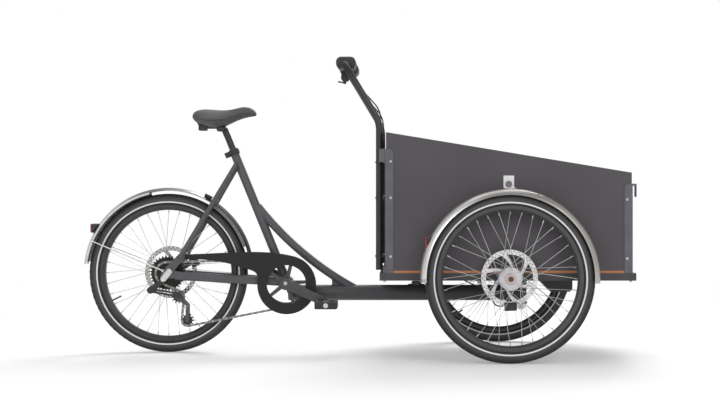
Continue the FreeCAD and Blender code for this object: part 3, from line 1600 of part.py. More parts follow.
def save_seat():
    cushion = saddle()
    save("seat_post", seat_post())
    save("saddle", cushion)
    save("saddle_rails", *saddle_rails(cushion))


# Cargo box

box_rear_x = front_axle_x - box_rear_run
box_front_x = front_axle_x + box_front_run
panel_y = box_half_width - post_wall
panel_bottom_z = box_floor_z + floor_thickness
leg_x = box_rear_x - bar_leg_back


def wall_top(x):
    """The height of the sloping top edge at x."""
    share = (x - box_rear_x) / (box_front_x - box_rear_x)
    return box_rear_top_z + (box_front_top_z - box_rear_top_z) * share


def post_bolt_places():
    """The bolts through the corner posts: x and z."""
    inset = panel_thickness + bolt_head_radius + face_gap
    rear = [(box_rear_x + inset, z) for z in rear_bolt_heights]
    front = [(box_front_x - inset, z) for z in front_bolt_heights]
    return rear + front


def side_bolt_holes(radius):
    outer = box_half_width + overrun
    inner = panel_y - panel_thickness - overrun
    return [cross_rod(x, z, side * inner, side * outer, radius)
            for x, z in post_bolt_places() for side in (-1, 1)]


def leg_bolt_holes(radius):
    start = leg_x - bar_radius - overrun
    end = box_rear_x + panel_thickness + overrun
    return [rod(Vector(start, side * bar_leg_y, z), Vector(end, side * bar_leg_y, z), radius)
            for z in rear_bolt_heights for side in (-1, 1)]


def guard_bracket_holes(radius):
    z = axle_z + front_guard_crown + guard_bracket_height - guard_bracket_bolt_drop
    outer = box_half_width + overrun
    inner = panel_y - panel_thickness - overrun
    return [cross_rod(front_axle_x, z, side * inner, side * outer, radius) for side in (-1, 1)]


def floor_panel():
    return block((box_rear_x, box_front_x), (-panel_y, panel_y), (box_floor_z, panel_bottom_z))


def wall_panels():
    holes = bolt_radius + ring_fit
    cutters = side_bolt_holes(holes) + leg_bolt_holes(holes) + guard_bracket_holes(holes)
    solids = []
    for side in (-1, 1):
        solids.append(side_plate(
            [(box_rear_x, panel_bottom_z), (box_front_x, panel_bottom_z), (box_front_x, box_front_top_z),
             (box_rear_x, box_rear_top_z)],
            side * panel_y, side * (panel_y - panel_thickness)))
    inner_y = panel_y - panel_thickness
    for x in (box_rear_x, box_front_x - panel_thickness):
        far_x = x + panel_thickness
        solids.append(side_plate(
            [(x, panel_bottom_z), (far_x, panel_bottom_z), (far_x, wall_top(far_x)), (x, wall_top(x))],
            -inner_y, inner_y))
    return [minus(solid, *cutters) for solid in solids]


def rail(x_range, y_range, along_x):
    """A square tube of the bottom frame, open at both ends."""
    z_range = (rail_bottom_z, box_floor_z)
    inside_z = (rail_bottom_z + box_rail_wall, box_floor_z - box_rail_wall)
    low_x, high_x = min(x_range), max(x_range)
    low_y, high_y = min(y_range), max(y_range)
    if along_x:
        inside = block((low_x, high_x), (low_y + box_rail_wall, high_y - box_rail_wall), inside_z)
    else:
        inside = block((low_x + box_rail_wall, high_x - box_rail_wall), (low_y, high_y), inside_z)
    return block(x_range, y_range, z_range).cut(inside)


def corner_post(corner_x, inward, top_z):
    """An angle round one corner: a rounded leg on the side wall and a leg on the end wall."""
    inner_x = corner_x + inward * (post_leg - post_wall)
    outer_x = corner_x - inward * post_wall
    curve = post_leg * post_round_share
    inset = curve * (1 - math.sqrt(0.5))
    wire = outline(
        Vector(outer_x, -box_half_width, box_floor_z),
        Vector(inner_x, -box_half_width, box_floor_z),
        Vector(inner_x, -box_half_width, top_z - curve),
        (Vector(inner_x - inward * inset, -box_half_width, top_z - inset),
         Vector(inner_x - inward * curve, -box_half_width, top_z)),
        Vector(outer_x, -box_half_width, top_z))
    side_leg = Part.Face(wire).extrude(Vector(0, post_wall, 0))
    end_leg = block((outer_x, corner_x), (-box_half_width, -box_half_width + post_leg), (box_floor_z, top_z))
    return side_leg.fuse(end_leg)


def box_frame():
    rear = box_rear_x - box_rail_overhang_rear
    front = box_front_x + box_rail_overhang_front
    inner_y = box_half_width - box_rail_width
    hose_ways = both(bent_bar(hose_path(), hose_radius + hose_leg_gap))
    solids = [
        rail((rear, front), (-box_half_width, -inner_y), True),
        rail((rear, front), (inner_y, box_half_width), True),
        minus(rail((rear, rear + box_rail_width), (-inner_y, inner_y), False), *hose_ways),
        rail((front - box_rail_width, front), (-inner_y, inner_y), False)]
    holes = side_bolt_holes(bolt_radius + ring_fit)
    for post in (corner_post(box_rear_x, 1, post_rear_top_z), corner_post(box_front_x, -1, post_front_top_z)):
        solids += [minus(piece, *holes) for piece in both(post)]
    outer_x = box_front_x + post_wall + front_bracket_stand - front_bracket_wall
    root_x = box_front_x + post_wall
    bracket_low_z = post_front_top_z - front_bracket_height
    hook = side_plate(
        [(root_x, post_front_top_z), (outer_x, post_front_top_z), (outer_x, bracket_low_z),
         (outer_x - front_bracket_wall, bracket_low_z),
         (outer_x - front_bracket_wall, post_front_top_z - 2 * front_bracket_wall),
         (root_x, post_front_top_z - 2 * front_bracket_wall)],
        -box_half_width, -box_half_width + post_leg)
    hole_y = -box_half_width + post_leg / 2
    hole = rod(Vector(root_x, hole_y, bracket_hole_z), Vector(outer_x + overrun, hole_y, bracket_hole_z),
               bracket_hole_radius)
    hook = hook.cut(hole)
    solids += both(hook)
    bar_core = rod(Vector(leg_x, -bar_leg_y, bar_leg_bottom_z), Vector(leg_x, -bar_leg_y, bar_bend_z),
                   bar_radius)
    bracket = block((leg_x, box_rear_x - post_wall), (-bar_leg_y - leg_bracket_width, -bar_leg_y),
                    (leg_bracket_bottom_z, leg_bracket_bottom_z + leg_bracket_height))
    clear = leg_bolt_holes(bolt_radius + ring_fit)
    solids += both(minus(bracket, bar_core, *clear))
    return solids


def box_bolts():
    """Domed bolts with nuts: through the corner posts, through the bar's legs, and under the frame."""
    solids = []
    inner = panel_y - panel_thickness
    for x, z in post_bolt_places():
        for side in (-1, 1):
            shank = cross_rod(x, z, side * inner, side * box_half_width, bolt_radius)
            head = cross_rod(x, z, side * box_half_width, side * (box_half_width + bolt_head_height),
                             bolt_head_radius)
            nut = cross_rod(x, z, side * inner, side * (inner - bolt_nut_height), bolt_head_radius)
            solids.append(shank.multiFuse([head, nut]))
    head_x = leg_x - bar_radius
    end_x = box_rear_x + panel_thickness
    for z in rear_bolt_heights:
        for side in (-1, 1):
            y = side * bar_leg_y
            shank = rod(Vector(head_x, y, z), Vector(end_x, y, z), bolt_radius)
            head = rod(Vector(head_x - bolt_head_height, y, z), Vector(head_x, y, z), bolt_head_radius)
            nut = rod(Vector(end_x, y, z), Vector(end_x + bolt_nut_height, y, z), bolt_head_radius)
            solids.append(shank.multiFuse([head, nut]))
    rail_middle = box_half_width - box_rail_width / 2
    for x in (box_rear_x - box_rail_overhang_rear + foot_bolt_inset,
              box_front_x + box_rail_overhang_front - foot_bolt_inset):
        for side in (-1, 1):
            solids.append(rod(Vector(x, side * rail_middle, rail_bottom_z - bolt_nut_height),
                              Vector(x, side * rail_middle, rail_bottom_z), bolt_head_radius))
    return solids


def axle_beam():
    inner_y = box_half_width - box_rail_width
    half = beam_tube / 2
    rear_beam = rail((front_axle_x - half, front_axle_x + half), (-inner_y, inner_y), False)
    start = front_axle_x + front_beam_run
    front_beam = rail((start, start + beam_tube), (-inner_y, inner_y), False)
    plate = block((front_axle_x + half, start), (-kingpin_plate_half_width, kingpin_plate_half_width),
                  (rail_bottom_z, rail_bottom_z + kingpin_plate_thickness))
    hole = rod(Vector(kingpin_x, 0, rail_bottom_z), Vector(kingpin_x, 0, box_floor_z),
               kingpin_radius + ring_fit)
    solids = [rear_beam, front_beam, plate.cut(hole)]
    skid_end = start + skid_plate_length
    skid_z = rail_bottom_z - skid_plate_height
    solids.append(side_plate(
        [(start, rail_bottom_z), (skid_end, rail_bottom_z), (skid_end, skid_z + skid_plate_corner),
         (skid_end - skid_plate_corner, skid_z), (start + skid_plate_height, skid_z)],
        -skid_plate_half_width, skid_plate_half_width))
    shoulder_y = wheel_y - front_disc_offset + disc_thickness / 2 - face_gap
    end_y = wheel_y + front_hub_outer_end
    for side in (-1, 1):
        flange_y = box_half_width + stub_flange_width
        flange = cross_rod(front_axle_x, axle_z, side * box_half_width, side * flange_y, stub_flange_radius)
        shoulder = cross_rod(front_axle_x, axle_z, side * flange_y, side * shoulder_y, stub_shoulder_radius)
        stub = cross_rod(front_axle_x, axle_z, side * shoulder_y, side * end_y, stub_radius)
        keeper = cross_rod(front_axle_x, axle_z, side * (end_y + face_gap),
                           side * (end_y + stub_keeper_width), stub_keeper_radius)
        tip = cross_rod(front_axle_x, axle_z, side * end_y, side * (end_y + stub_keeper_width), stub_radius)
        solids.append(flange.multiFuse([shoulder, stub, keeper, tip]))
    return solids


def kingpin():
    nut_top = head_bottom_z - head_bearing_height - face_gap
    nut_bottom = nut_top - kingpin_nut_height
    plate_top = rail_bottom_z + kingpin_plate_thickness
    pin = rod(Vector(kingpin_x, 0, nut_bottom), Vector(kingpin_x, 0, plate_top), kingpin_radius)
    head = rod(Vector(kingpin_x, 0, plate_top), Vector(kingpin_x, 0, plate_top + kingpin_plate_thickness),
               kingpin_nut_radius)
    nut = hexagon(Vector(kingpin_x, 0, nut_bottom), Vector(kingpin_x, 0, nut_top), kingpin_nut_radius)
    hole = rod(Vector(kingpin_x, 0, nut_bottom), Vector(kingpin_x, 0, nut_top), kingpin_radius + ring_fit)
    return [pin.fuse(head), nut.cut(hole)]


# Bar, grips and levers

bar_x = box_rear_x - bar_top_back
fork_end = blade_drop + blade_eye_radius + 2 * face_gap + fork_wall


def bar_path():
    leg = [Vector(leg_x, -bar_leg_y, bar_leg_bottom_z), Vector(leg_x, -bar_leg_y, bar_bend_z),
           Vector(bar_x, -bar_leg_y, bar_top_z)]
    far_leg = [Vector(point.x, -point.y, point.z) for point in reversed(leg)]
    return bent_path(leg + far_leg, (bar_bend_radius, bar_corner_radius, bar_corner_radius, bar_bend_radius))


def handlebar():
    """One bent tube, and the spacers that stand its legs off the rear wall."""
    path = bar_path()
    core = bent_bar(path, bar_radius)
    holes = leg_bolt_holes(bolt_radius + ring_fit)
    solids = [minus(core, bent_bar(path, bar_radius - bar_wall), *holes)]
    for z in rear_bolt_heights[:-1]:
        for side in (-1, 1):
            spacer = rod(Vector(leg_x, side * bar_leg_y, z), Vector(box_rear_x, side * bar_leg_y, z),
                         spacer_radius)
            solids.append(minus(spacer, core, *holes))
    return solids


def grips():
    half_depth = grip_depth / 2
    half_height = grip_height / 2
    solids = []
    for side in (-1, 1):
        low_y = side * grip_inner_y
        high_y = side * grip_outer_y
        middle_x = bar_x + grip_lead
        body = block((middle_x - half_depth, middle_x + half_depth), (low_y, high_y),
                     (bar_top_z - half_height + grip_lift, bar_top_z + half_height + grip_lift))
        long_edges = [edge for edge in body.Edges if abs(edge.tangentAt(edge.FirstParameter).y) > 0.9]
        body = body.makeFillet(grip_round, long_edges)
        ends = [edge for edge in body.Edges if abs(edge.tangentAt(edge.FirstParameter).y) < 0.1]
        body = body.makeChamfer(grip_end_round, ends)
        solids.append(body.cut(cross_rod(bar_x, bar_top_z, low_y - side * overrun, high_y + side * overrun,
                                         bar_radius + ring_fit)))
    return solids


def bar_frame(shape, angle):
    """Moves a shape from an unturned bar at the origin to the bar, turned about it."""
    moved = shape.copy()
    moved.rotate(Vector(0, 0, 0), Vector(0, -1, 0), angle)
    moved.translate(Vector(bar_x, 0, bar_top_z))
    return moved


def lever_mount(side):
    """A clamp ring on the bar with a fork that holds the lever's pin."""
    low_y = side * (mount_y - mount_width / 2)
    high_y = side * (mount_y + mount_width / 2)
    ring = cross_rod(0, 0, low_y, high_y, mount_radius)
    slot_half = blade_height / 2 + face_gap
    fork_half = slot_half + fork_wall
    arm = block((0, fork_end), (low_y, high_y), (-fork_half, fork_half))
    slot = block((blade_drop - blade_eye_radius - blade_thickness, fork_end - fork_wall),
                 (low_y - side * overrun, high_y + side * overrun), (-slot_half, slot_half))
    bore = cross_rod(0, 0, low_y, high_y, bar_radius + ring_fit)
    pin = rod(Vector(blade_drop, side * mount_y, -slot_half), Vector(blade_drop, side * mount_y, slot_half),
              blade_pin_radius)
    body = minus(ring.fuse(arm), slot, bore)
    return [bar_frame(body, mount_angle), bar_frame(pin, mount_angle)]


def brake_lever(side):
    low = -blade_height / 2
    eye_y = side * mount_y
    tip_y = side * (mount_y - blade_length)
    eye = rod(Vector(blade_drop, eye_y, low), Vector(blade_drop, eye_y, -low), blade_eye_radius)
    elbow_y = side * (mount_y - 2 * blade_eye_radius)
    blade = plan_plate(
        [(blade_drop - blade_eye_radius / 2, eye_y), (blade_drop + blade_eye_radius, eye_y),
         (blade_drop + blade_eye_radius, elbow_y), (blade_drop + blade_thickness, tip_y),
         (blade_drop, tip_y), (blade_drop + blade_eye_radius - blade_thickness, elbow_y)],
        low, -low)
    knob = rod(Vector(blade_drop + blade_thickness / 2, tip_y, low),
               Vector(blade_drop + blade_thickness / 2, tip_y, -low), blade_thickness)
    bore = rod(Vector(blade_drop, eye_y, low), Vector(blade_drop, eye_y, -low), blade_pin_radius + fit)
    return bar_frame(eye.multiFuse([blade, knob]).cut(bore), mount_angle)


def shifter_pod():
    """A rounded housing under the bar, inboard of the right grip, with the trigger's pin."""
    low_y = -pod_y
    high_y = -pod_y + pod_width
    ring = cross_rod(0, 0, low_y, high_y, mount_radius)
    body = strap(0, 0, mount_radius, pod_drop, 0, pod_radius, low_y, high_y)
    bore = cross_rod(0, 0, low_y, high_y, bar_radius + ring_fit)
    middle_y = (low_y + high_y) / 2
    end = pod_drop + pod_radius
    pin = rod(Vector(end, middle_y, 0), Vector(end + trigger_thickness + 2 * face_gap, middle_y, 0),
              blade_pin_radius)
    washer = rod(Vector(end + trigger_thickness + 2 * face_gap, middle_y, 0),
                 Vector(end + trigger_thickness + 2 * face_gap + trigger_washer, middle_y, 0),
                 2 * blade_pin_radius)
    housing = ring.fuse(body).cut(bore)
    return [bar_frame(housing, pod_angle), bar_frame(pin.fuse(washer), pod_angle)]


def shift_lever():
    middle_y = -pod_y + pod_width / 2
    low = pod_drop + pod_radius + face_gap
    high = low + trigger_thickness
    eye = rod(Vector(low, middle_y, 0), Vector(high, middle_y, 0), trigger_width / 2)
    paddle = block((low, high), (middle_y - trigger_width / 2, middle_y + trigger_width / 2),
                   (-trigger_length, 0))
    ends = [edge for edge in paddle.Edges
            if abs(edge.tangentAt(edge.FirstParameter).x) > 0.9 and edge.CenterOfMass.z < -trigger_width]
    paddle = paddle.makeFillet(trigger_width / 3, ends)
    bore = rod(Vector(low, middle_y, 0), Vector(high, middle_y, 0), blade_pin_radius + fit)
    return bar_frame(eye.fuse(paddle).cut(bore), pod_angle)


# Front mudguards, calipers and hoses

def front_guard(side):
    return mudguard(front_axle_x, side * wheel_y, front_guard_crown, front_guard_edge, front_guard_width,
                    front_guard_front_angle, front_guard_rear_angle)


def mudguard_brackets():
    solids = []
    holes = guard_bracket_holes(bolt_radius + ring_fit)
    half = guard_bracket_width / 2
    base_z = axle_z + front_guard_crown + face_gap
    for side in (-1, 1):
        guard = front_guard(side)
        plate = block((front_axle_x - half, front_axle_x + half),
                      (side * panel_y, side * (panel_y + guard_bracket_wall)),
                      (base_z, base_z - face_gap + guard_bracket_height))
        shelf = block((front_axle_x - half, front_axle_x + half), (side * panel_y, side * wheel_y),
                      (base_z, base_z + guard_bracket_wall))
        solids.append(minus(plate.fuse(shelf), *holes))
        z = axle_z + front_guard_crown + guard_bracket_height - guard_bracket_bolt_drop
        face = side * (panel_y + guard_bracket_wall)
        inner = side * (panel_y - panel_thickness)
        head = hexagon(Vector(front_axle_x, face, z), Vector(front_axle_x, face + side * bolt_nut_height, z),
                       guard_bracket_bolt_radius)
        shank = cross_rod(front_axle_x, z, inner, face, bolt_radius)
        nut = cross_rod(front_axle_x, z, inner, inner - side * bolt_nut_height, bolt_head_radius)
        solids.append(head.multiFuse([shank, nut]))
        for angle in (guard_foot_angle, 180 - guard_foot_angle):
            foot = polar(front_axle_x, axle_z, front_guard_edge + guard_sheet, angle, 0)
            bar = cross_rod(foot.x, foot.z, side * box_half_width,
                            side * (wheel_y - front_guard_width / 2 + 2 * guard_sheet), guard_foot_radius)
            solids.append(max(bar.cut(guard).Solids, key=lambda solid: solid.Volume))
    return solids


def front_calipers():
    solids = []
    run, rise = turned(front_disc_radius, 0, front_caliper_angle)
    for side in (-1, 1):
        disc_y = side * (wheel_y - front_disc_offset)
        body = caliper(front_axle_x, axle_z, front_caliper_angle, disc_y, front_disc_radius, -side)
        solids.append(body)
        arm_y = side * (box_half_width + stub_flange_width)
        far_y = arm_y + side * caliper_arm_thickness
        arm = strap(front_axle_x, axle_z, stub_flange_radius, front_axle_x + run, axle_z + rise,
                    caliper_arm_width / 2, arm_y, far_y)
        solids.append(arm.cut(cross_rod(front_axle_x, axle_z, arm_y, far_y, stub_shoulder_radius + ring_fit)))
        inner_face = disc_y - side * caliper_width / 2
        boss = cross_rod(front_axle_x + run, axle_z + rise, far_y, inner_face, caliper_mount_radius)
        solids.append(boss.cut(body))
    return solids


def hose_path():
    """From the lever's mount to the leg, down beside it, through the rear rail and out to the caliper."""
    down_y = bar_leg_y - bar_radius - hose_radius - hose_leg_gap
    down_x = leg_x + hose_leg_lead
    through_z = (rail_bottom_z + box_floor_z) / 2
    under_z = rail_bottom_z - hose_under_drop
    run, rise = turned(fork_end, 0, mount_angle)
    start = Vector(bar_x + run, -mount_y, bar_top_z + rise)
    way = Vector(run, 0, rise).normalize()
    caliper_y = wheel_y - front_disc_offset - caliper_width / 4
    rail_y_middle = box_half_width - box_rail_width / 2
    end_x = front_axle_x - caliper_length / 2
    end_z = axle_z - front_disc_radius
    points = [
        start,
        start + way * hose_exit_run + Vector(0, mount_y - down_y, 0) * hose_first_share,
        Vector(down_x - hose_loop_back, -down_y, bar_bend_z + hose_loop_rise),
        Vector(down_x, -down_y, bar_bend_z - hose_loop_rise),
        Vector(down_x, -down_y, through_z),
        Vector(front_axle_x - hose_turn_run, -down_y, through_z),
        Vector(front_axle_x - hose_cross_run, -rail_y_middle, under_z),
        Vector(front_axle_x - hose_drop_run, -caliper_y, under_z - hose_under_drop),
        Vector(end_x - hose_end_run, -caliper_y, end_z),
        Vector(end_x, -caliper_y, end_z)]
    return bent_path(points, hose_bends)


def brake_hoses():
    path = hose_path()
    hose = bent_bar(path, hose_radius)
    print(f"hose length {path.Length:.0f}, volume over section times length "
          f"{hose.Volume / (path.Length * math.pi * hose_radius ** 2):.3f}")
    blocks = [caliper(front_axle_x, axle_z, front_caliper_angle, -(wheel_y - front_disc_offset),
                      front_disc_radius, 1)]
    return both(max(minus(hose, *blocks).Solids, key=lambda solid: solid.Volume))


def save_front():
    save("box_frame", *box_frame())
    save("floor_panel", floor_panel())
    save("wall_panels", *wall_panels())
    save("box_bolts", *box_bolts())
    save("axle_beam", *axle_beam())
    save("kingpin", *kingpin())
    save("handlebar", *handlebar())
    save("grips", *grips())
    save("lever_mounts", *lever_mount(-1), *lever_mount(1), *shifter_pod())
    save("brake_lever_right", brake_lever(-1))
    save("brake_lever_left", brake_lever(1))
    save("shift_lever", shift_lever())
    save("front_mudguards", front_guard(-1), front_guard(1))
    save("mudguard_brackets", *mudguard_brackets())
    save("front_calipers", *front_calipers())
    save("brake_hoses", *brake_hoses())


os.makedirs("parts", exist_ok=True)
save_front_wheel("front_left", 1)
save_front_wheel("front_right", -1)
save_rear_wheel()
save_drive()
save_frame()
save_seat()
save_front()
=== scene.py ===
# %% [markdown]
# A cargo tricycle, dressed
#
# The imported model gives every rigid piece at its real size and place. This lesson gives those
# pieces their finishes and adds what a drawing of solids leaves out: the padded saddle with the wires
# under it, the tread, the spoke nipples, two marker lamps, the derailleur's link and the lips of the
# rear mudguard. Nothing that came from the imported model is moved.

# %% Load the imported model
import json
import math

import bpy
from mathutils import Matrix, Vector


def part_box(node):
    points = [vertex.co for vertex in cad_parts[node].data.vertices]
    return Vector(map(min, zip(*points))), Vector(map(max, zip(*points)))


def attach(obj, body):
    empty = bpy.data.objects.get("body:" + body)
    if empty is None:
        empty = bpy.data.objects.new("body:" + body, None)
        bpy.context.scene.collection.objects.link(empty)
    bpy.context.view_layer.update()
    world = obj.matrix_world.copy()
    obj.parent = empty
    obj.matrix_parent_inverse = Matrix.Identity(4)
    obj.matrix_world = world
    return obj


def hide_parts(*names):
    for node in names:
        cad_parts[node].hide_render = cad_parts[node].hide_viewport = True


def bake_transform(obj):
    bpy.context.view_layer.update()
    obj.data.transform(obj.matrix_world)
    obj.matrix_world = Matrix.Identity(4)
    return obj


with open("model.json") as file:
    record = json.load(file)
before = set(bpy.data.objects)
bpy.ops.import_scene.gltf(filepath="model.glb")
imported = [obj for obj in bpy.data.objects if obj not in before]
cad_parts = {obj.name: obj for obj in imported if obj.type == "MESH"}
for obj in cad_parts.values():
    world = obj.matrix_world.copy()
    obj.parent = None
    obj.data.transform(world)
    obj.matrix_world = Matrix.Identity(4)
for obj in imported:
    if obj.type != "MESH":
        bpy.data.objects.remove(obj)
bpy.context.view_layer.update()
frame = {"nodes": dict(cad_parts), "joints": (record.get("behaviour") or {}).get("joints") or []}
nodes = frame["nodes"]
joint_place = {joint["name"]: Vector(joint.get("pos_m", (0, 0, 0))) for joint in frame["joints"]}
rear_axle = joint_place["rear_wheel_spin"]
left_axle = joint_place["front_wheel_left_spin"]
right_axle = joint_place["front_wheel_right_spin"]

# %% [markdown]
# The photograph was taken from the right side with a long lens, level with the wheels' tops. The
# camera stands square to the mid-plane, and a small lens shift frames the picture as it was cropped.

# %% Camera
image_width = 720
image_height = 405
focal_pixels = 1448
axis_pixel_x = 412
axis_pixel_y = 195
camera_distance = 5.53
camera_height = 0.599
camera_x = 0.221
sensor_width = 36

bpy.ops.object.select_all(action="DESELECT")
bpy.ops.object.camera_add(location=(camera_x, -camera_distance, camera_height), rotation=(math.pi / 2, 0, 0))
camera = bpy.context.object
camera.name = "camera"
camera.data.sensor_width = sensor_width
camera.data.lens = focal_pixels / image_width * sensor_width
camera.data.shift_x = (image_width / 2 - axis_pixel_x) / image_width
camera.data.shift_y = (axis_pixel_y - image_height / 2) / image_width
bpy.context.scene.camera = camera
print("lens", round(camera.data.lens, 1), "mm")

# %% [markdown]
# A finish is a tree of shader nodes. These helpers add a node, wire two sockets and make the small sums
# and ramps that most finishes need, so that each finish below reads like a recipe.

# %% Node helpers
def new_group(name, inputs, outputs):
    """An empty shader group with its sockets: each input is a name, a kind and a default."""
    tree = bpy.data.node_groups.new(name, "ShaderNodeTree")
    for label, kind, default in inputs:
        socket = tree.interface.new_socket(label, in_out="INPUT", socket_type=f"NodeSocket{kind}")
        if default is not None:
            socket.default_value = default
    for label, kind in outputs:
        tree.interface.new_socket(label, in_out="OUTPUT", socket_type=f"NodeSocket{kind}")
    return tree, tree.nodes.new("NodeGroupInput"), tree.nodes.new("NodeGroupOutput")


def add_node(tree, kind, **settings):
    """A shader node with its own settings, such as its operation."""
    node = tree.nodes.new(f"ShaderNode{kind}")
    for key, value in settings.items():
        setattr(node, key, value)
    return node


def wire(tree, source, target):
    """Links one socket to another."""
    tree.links.new(source, target)


def noise_node(tree, vector, scale, detail):
    node = add_node(tree, "TexNoise")
    node.inputs["Detail"].default_value = detail
    wire(tree, vector, node.inputs["Vector"])
    if isinstance(scale, (int, float)):
        node.inputs["Scale"].default_value = scale
    else:
        wire(tree, scale, node.inputs["Scale"])
    return node.outputs["Fac"]


def math_node(tree, operation, first, second):
    node = add_node(tree, "Math", operation=operation)
    for socket, value in zip(node.inputs, (first, second)):
        if isinstance(value, (int, float)):
            socket.default_value = value
        else:
            wire(tree, value, socket)
    return node.outputs[0]


def mix_colors(tree, factor, first, second):
    node = add_node(tree, "Mix", data_type="RGBA")
    for socket, value in ((node.inputs[0], factor), (node.inputs[6], first), (node.inputs[7], second)):
        if isinstance(value, (int, float, tuple)):
            socket.default_value = value
        else:
            wire(tree, value, socket)
    return node.outputs[2]


def ramp_node(tree, value, low, high):
    """Zero under low, one over high, smooth between them."""
    node = add_node(tree, "MapRange", interpolation_type="SMOOTHSTEP")
    node.inputs["From Min"].default_value = low
    node.inputs["From Max"].default_value = high
    wire(tree, value, node.inputs["Value"])
    return node.outputs[0]


def split_axes(tree, vector):
    """The X, Y and Z of a vector."""
    node = add_node(tree, "SeparateXYZ")
    wire(tree, vector, node.inputs[0])
    return node.outputs


print("node helpers ready")

# %% [markdown]
# Every finish starts from the same few effects, so each effect is a node group that is built once.
# Grain gives a colour that drifts a little, a roughness that drifts with it and a fine height for
# a bump. Brush gives the fine lines that a belt leaves on steel. Around the axle gives the distance
# and the angle of a point on a wheel, for what is drawn in rings.

# %% Node groups
def make_grain():
    tree, start, end = new_group(
        "grain",
        [("Vector", "Vector", None), ("Color", "Color", (0.5, 0.5, 0.5, 1)),
         ("Worn Color", "Color", (0.5, 0.5, 0.5, 1)), ("Patch Scale", "Float", 12), ("Fine Scale", "Float", 900),
         ("Roughness", "Float", 0.5), ("Spread", "Float", 0.1)],
        [("Color", "Color"), ("Roughness", "Float"), ("Height", "Float")])
    vector = start.outputs["Vector"]
    patch = noise_node(tree, vector, start.outputs["Patch Scale"], 5)
    fine = noise_node(tree, vector, start.outputs["Fine Scale"], 2)
    wear = ramp_node(tree, math_node(tree, "ADD", math_node(tree, "MULTIPLY", patch, 0.75),
                                     math_node(tree, "MULTIPLY", fine, 0.25)), 0.36, 0.64)
    wire(tree, mix_colors(tree, wear, start.outputs["Color"], start.outputs["Worn Color"]), end.inputs["Color"])
    drift = math_node(tree, "MULTIPLY", math_node(tree, "SUBTRACT", patch, 0.5), start.outputs["Spread"])
    wire(tree, math_node(tree, "ADD", start.outputs["Roughness"], drift), end.inputs["Roughness"])
    wire(tree, fine, end.inputs["Height"])
    return tree


def make_brush():
    tree, start, end = new_group(
        "brush",
        [("Vector", "Vector", None), ("Scale", "Float", 60), ("Roughness", "Float", 0.3), ("Spread", "Float", 0.15)],
        [("Roughness", "Float"), ("Height", "Float")])
    lines = noise_node(tree, start.outputs["Vector"], start.outputs["Scale"], 4)
    drift = math_node(tree, "MULTIPLY", math_node(tree, "SUBTRACT", lines, 0.5), start.outputs["Spread"])
    wire(tree, math_node(tree, "ADD", start.outputs["Roughness"], drift), end.inputs["Roughness"])
    wire(tree, lines, end.inputs["Height"])
    return tree


def make_around_axle():
    tree, start, end = new_group(
        "around_axle", [("Vector", "Vector", None)], [("Radius", "Float"), ("Angle", "Float"), ("Rings", "Vector")])
    parts = split_axes(tree, start.outputs["Vector"])
    across = math_node(tree, "MULTIPLY", parts["X"], parts["X"])
    up = math_node(tree, "MULTIPLY", parts["Z"], parts["Z"])
    radius = math_node(tree, "SQRT", math_node(tree, "ADD", across, up), 0)
    angle = math_node(tree, "ARCTAN2", parts["Z"], parts["X"])
    rings = add_node(tree, "CombineXYZ")
    wire(tree, math_node(tree, "MULTIPLY", radius, 12), rings.inputs["X"])
    wire(tree, math_node(tree, "MULTIPLY", angle, 0.05), rings.inputs["Y"])
    wire(tree, parts["Y"], rings.inputs["Z"])
    wire(tree, radius, end.inputs["Radius"])
    wire(tree, angle, end.inputs["Angle"])
    wire(tree, rings.outputs[0], end.inputs["Rings"])
    return tree


grain_group = make_grain()
brush_group = make_brush()
axle_group = make_around_axle()
print("groups:", [tree.name for tree in (grain_group, brush_group, axle_group)])

# %% [markdown]
# A material is a Principled shader fed by those groups. The helper below starts one, with Object
# coordinates and the numbers that are the same all over set on the shader's own sockets.

# %% Starting a material
def start_material(name, roughness, metallic, **sockets):
    """A new material's tree, its shader and its Object coordinates."""
    material = bpy.data.materials.new(name)
    material.use_nodes = True
    tree = material.node_tree
    shader = tree.nodes["Principled BSDF"]
    shader.inputs["Roughness"].default_value = roughness
    shader.inputs["Metallic"].default_value = metallic
    for label, value in sockets.items():
        shader.inputs[label.replace("_", " ")].default_value = value
    place = add_node(tree, "TexCoord")
    return material, tree, shader, place.outputs["Object"]


def use_group(tree, group, vector, **values):
    node = add_node(tree, "Group", node_tree=group)
    wire(tree, vector, node.inputs["Vector"])
    for label, value in values.items():
        node.inputs[label.replace("_", " ")].default_value = value
    return node


def bump_into(tree, shader, height, distance):
    """A bump of a real depth, in metres."""
    node = add_node(tree, "Bump")
    node.inputs["Strength"].default_value = 1
    node.inputs["Distance"].default_value = distance
    wire(tree, height, node.inputs["Height"])
    wire(tree, node.outputs[0], shader.inputs["Normal"])


def grain_finish(name, color, worn, roughness, patch, fine, depth, metallic=0.0, spread=0.15, **sockets):
    """A coated, moulded or cast surface: a drifting colour and a fine bump."""
    material, tree, shader, place = start_material(name, roughness, metallic, **sockets)
    grain = use_group(tree, grain_group, place, Color=(*color, 1), Worn_Color=(*worn, 1), Patch_Scale=patch,
                      Fine_Scale=fine, Roughness=roughness, Spread=spread)
    wire(tree, grain.outputs["Color"], shader.inputs["Base Color"])
    wire(tree, grain.outputs["Roughness"], shader.inputs["Roughness"])
    bump_into(tree, shader, grain.outputs["Height"], depth)
    return material


def faded(color, share):
    """A colour made darker, with its alpha."""
    return (*(share * part for part in color), 1)


def centred(tree, place, centre):
    """Object coordinates measured from a point, such as an axle."""
    node = add_node(tree, "Mapping")
    node.inputs["Location"].default_value = tuple(-value for value in centre)
    wire(tree, place, node.inputs["Vector"])
    return node.outputs[0]


def stretched(tree, place, scale):
    node = add_node(tree, "Mapping")
    node.inputs["Scale"].default_value = scale
    wire(tree, place, node.inputs["Vector"])
    return node.outputs[0]


print("helpers ready for the finishes of", len(nodes), "nodes")

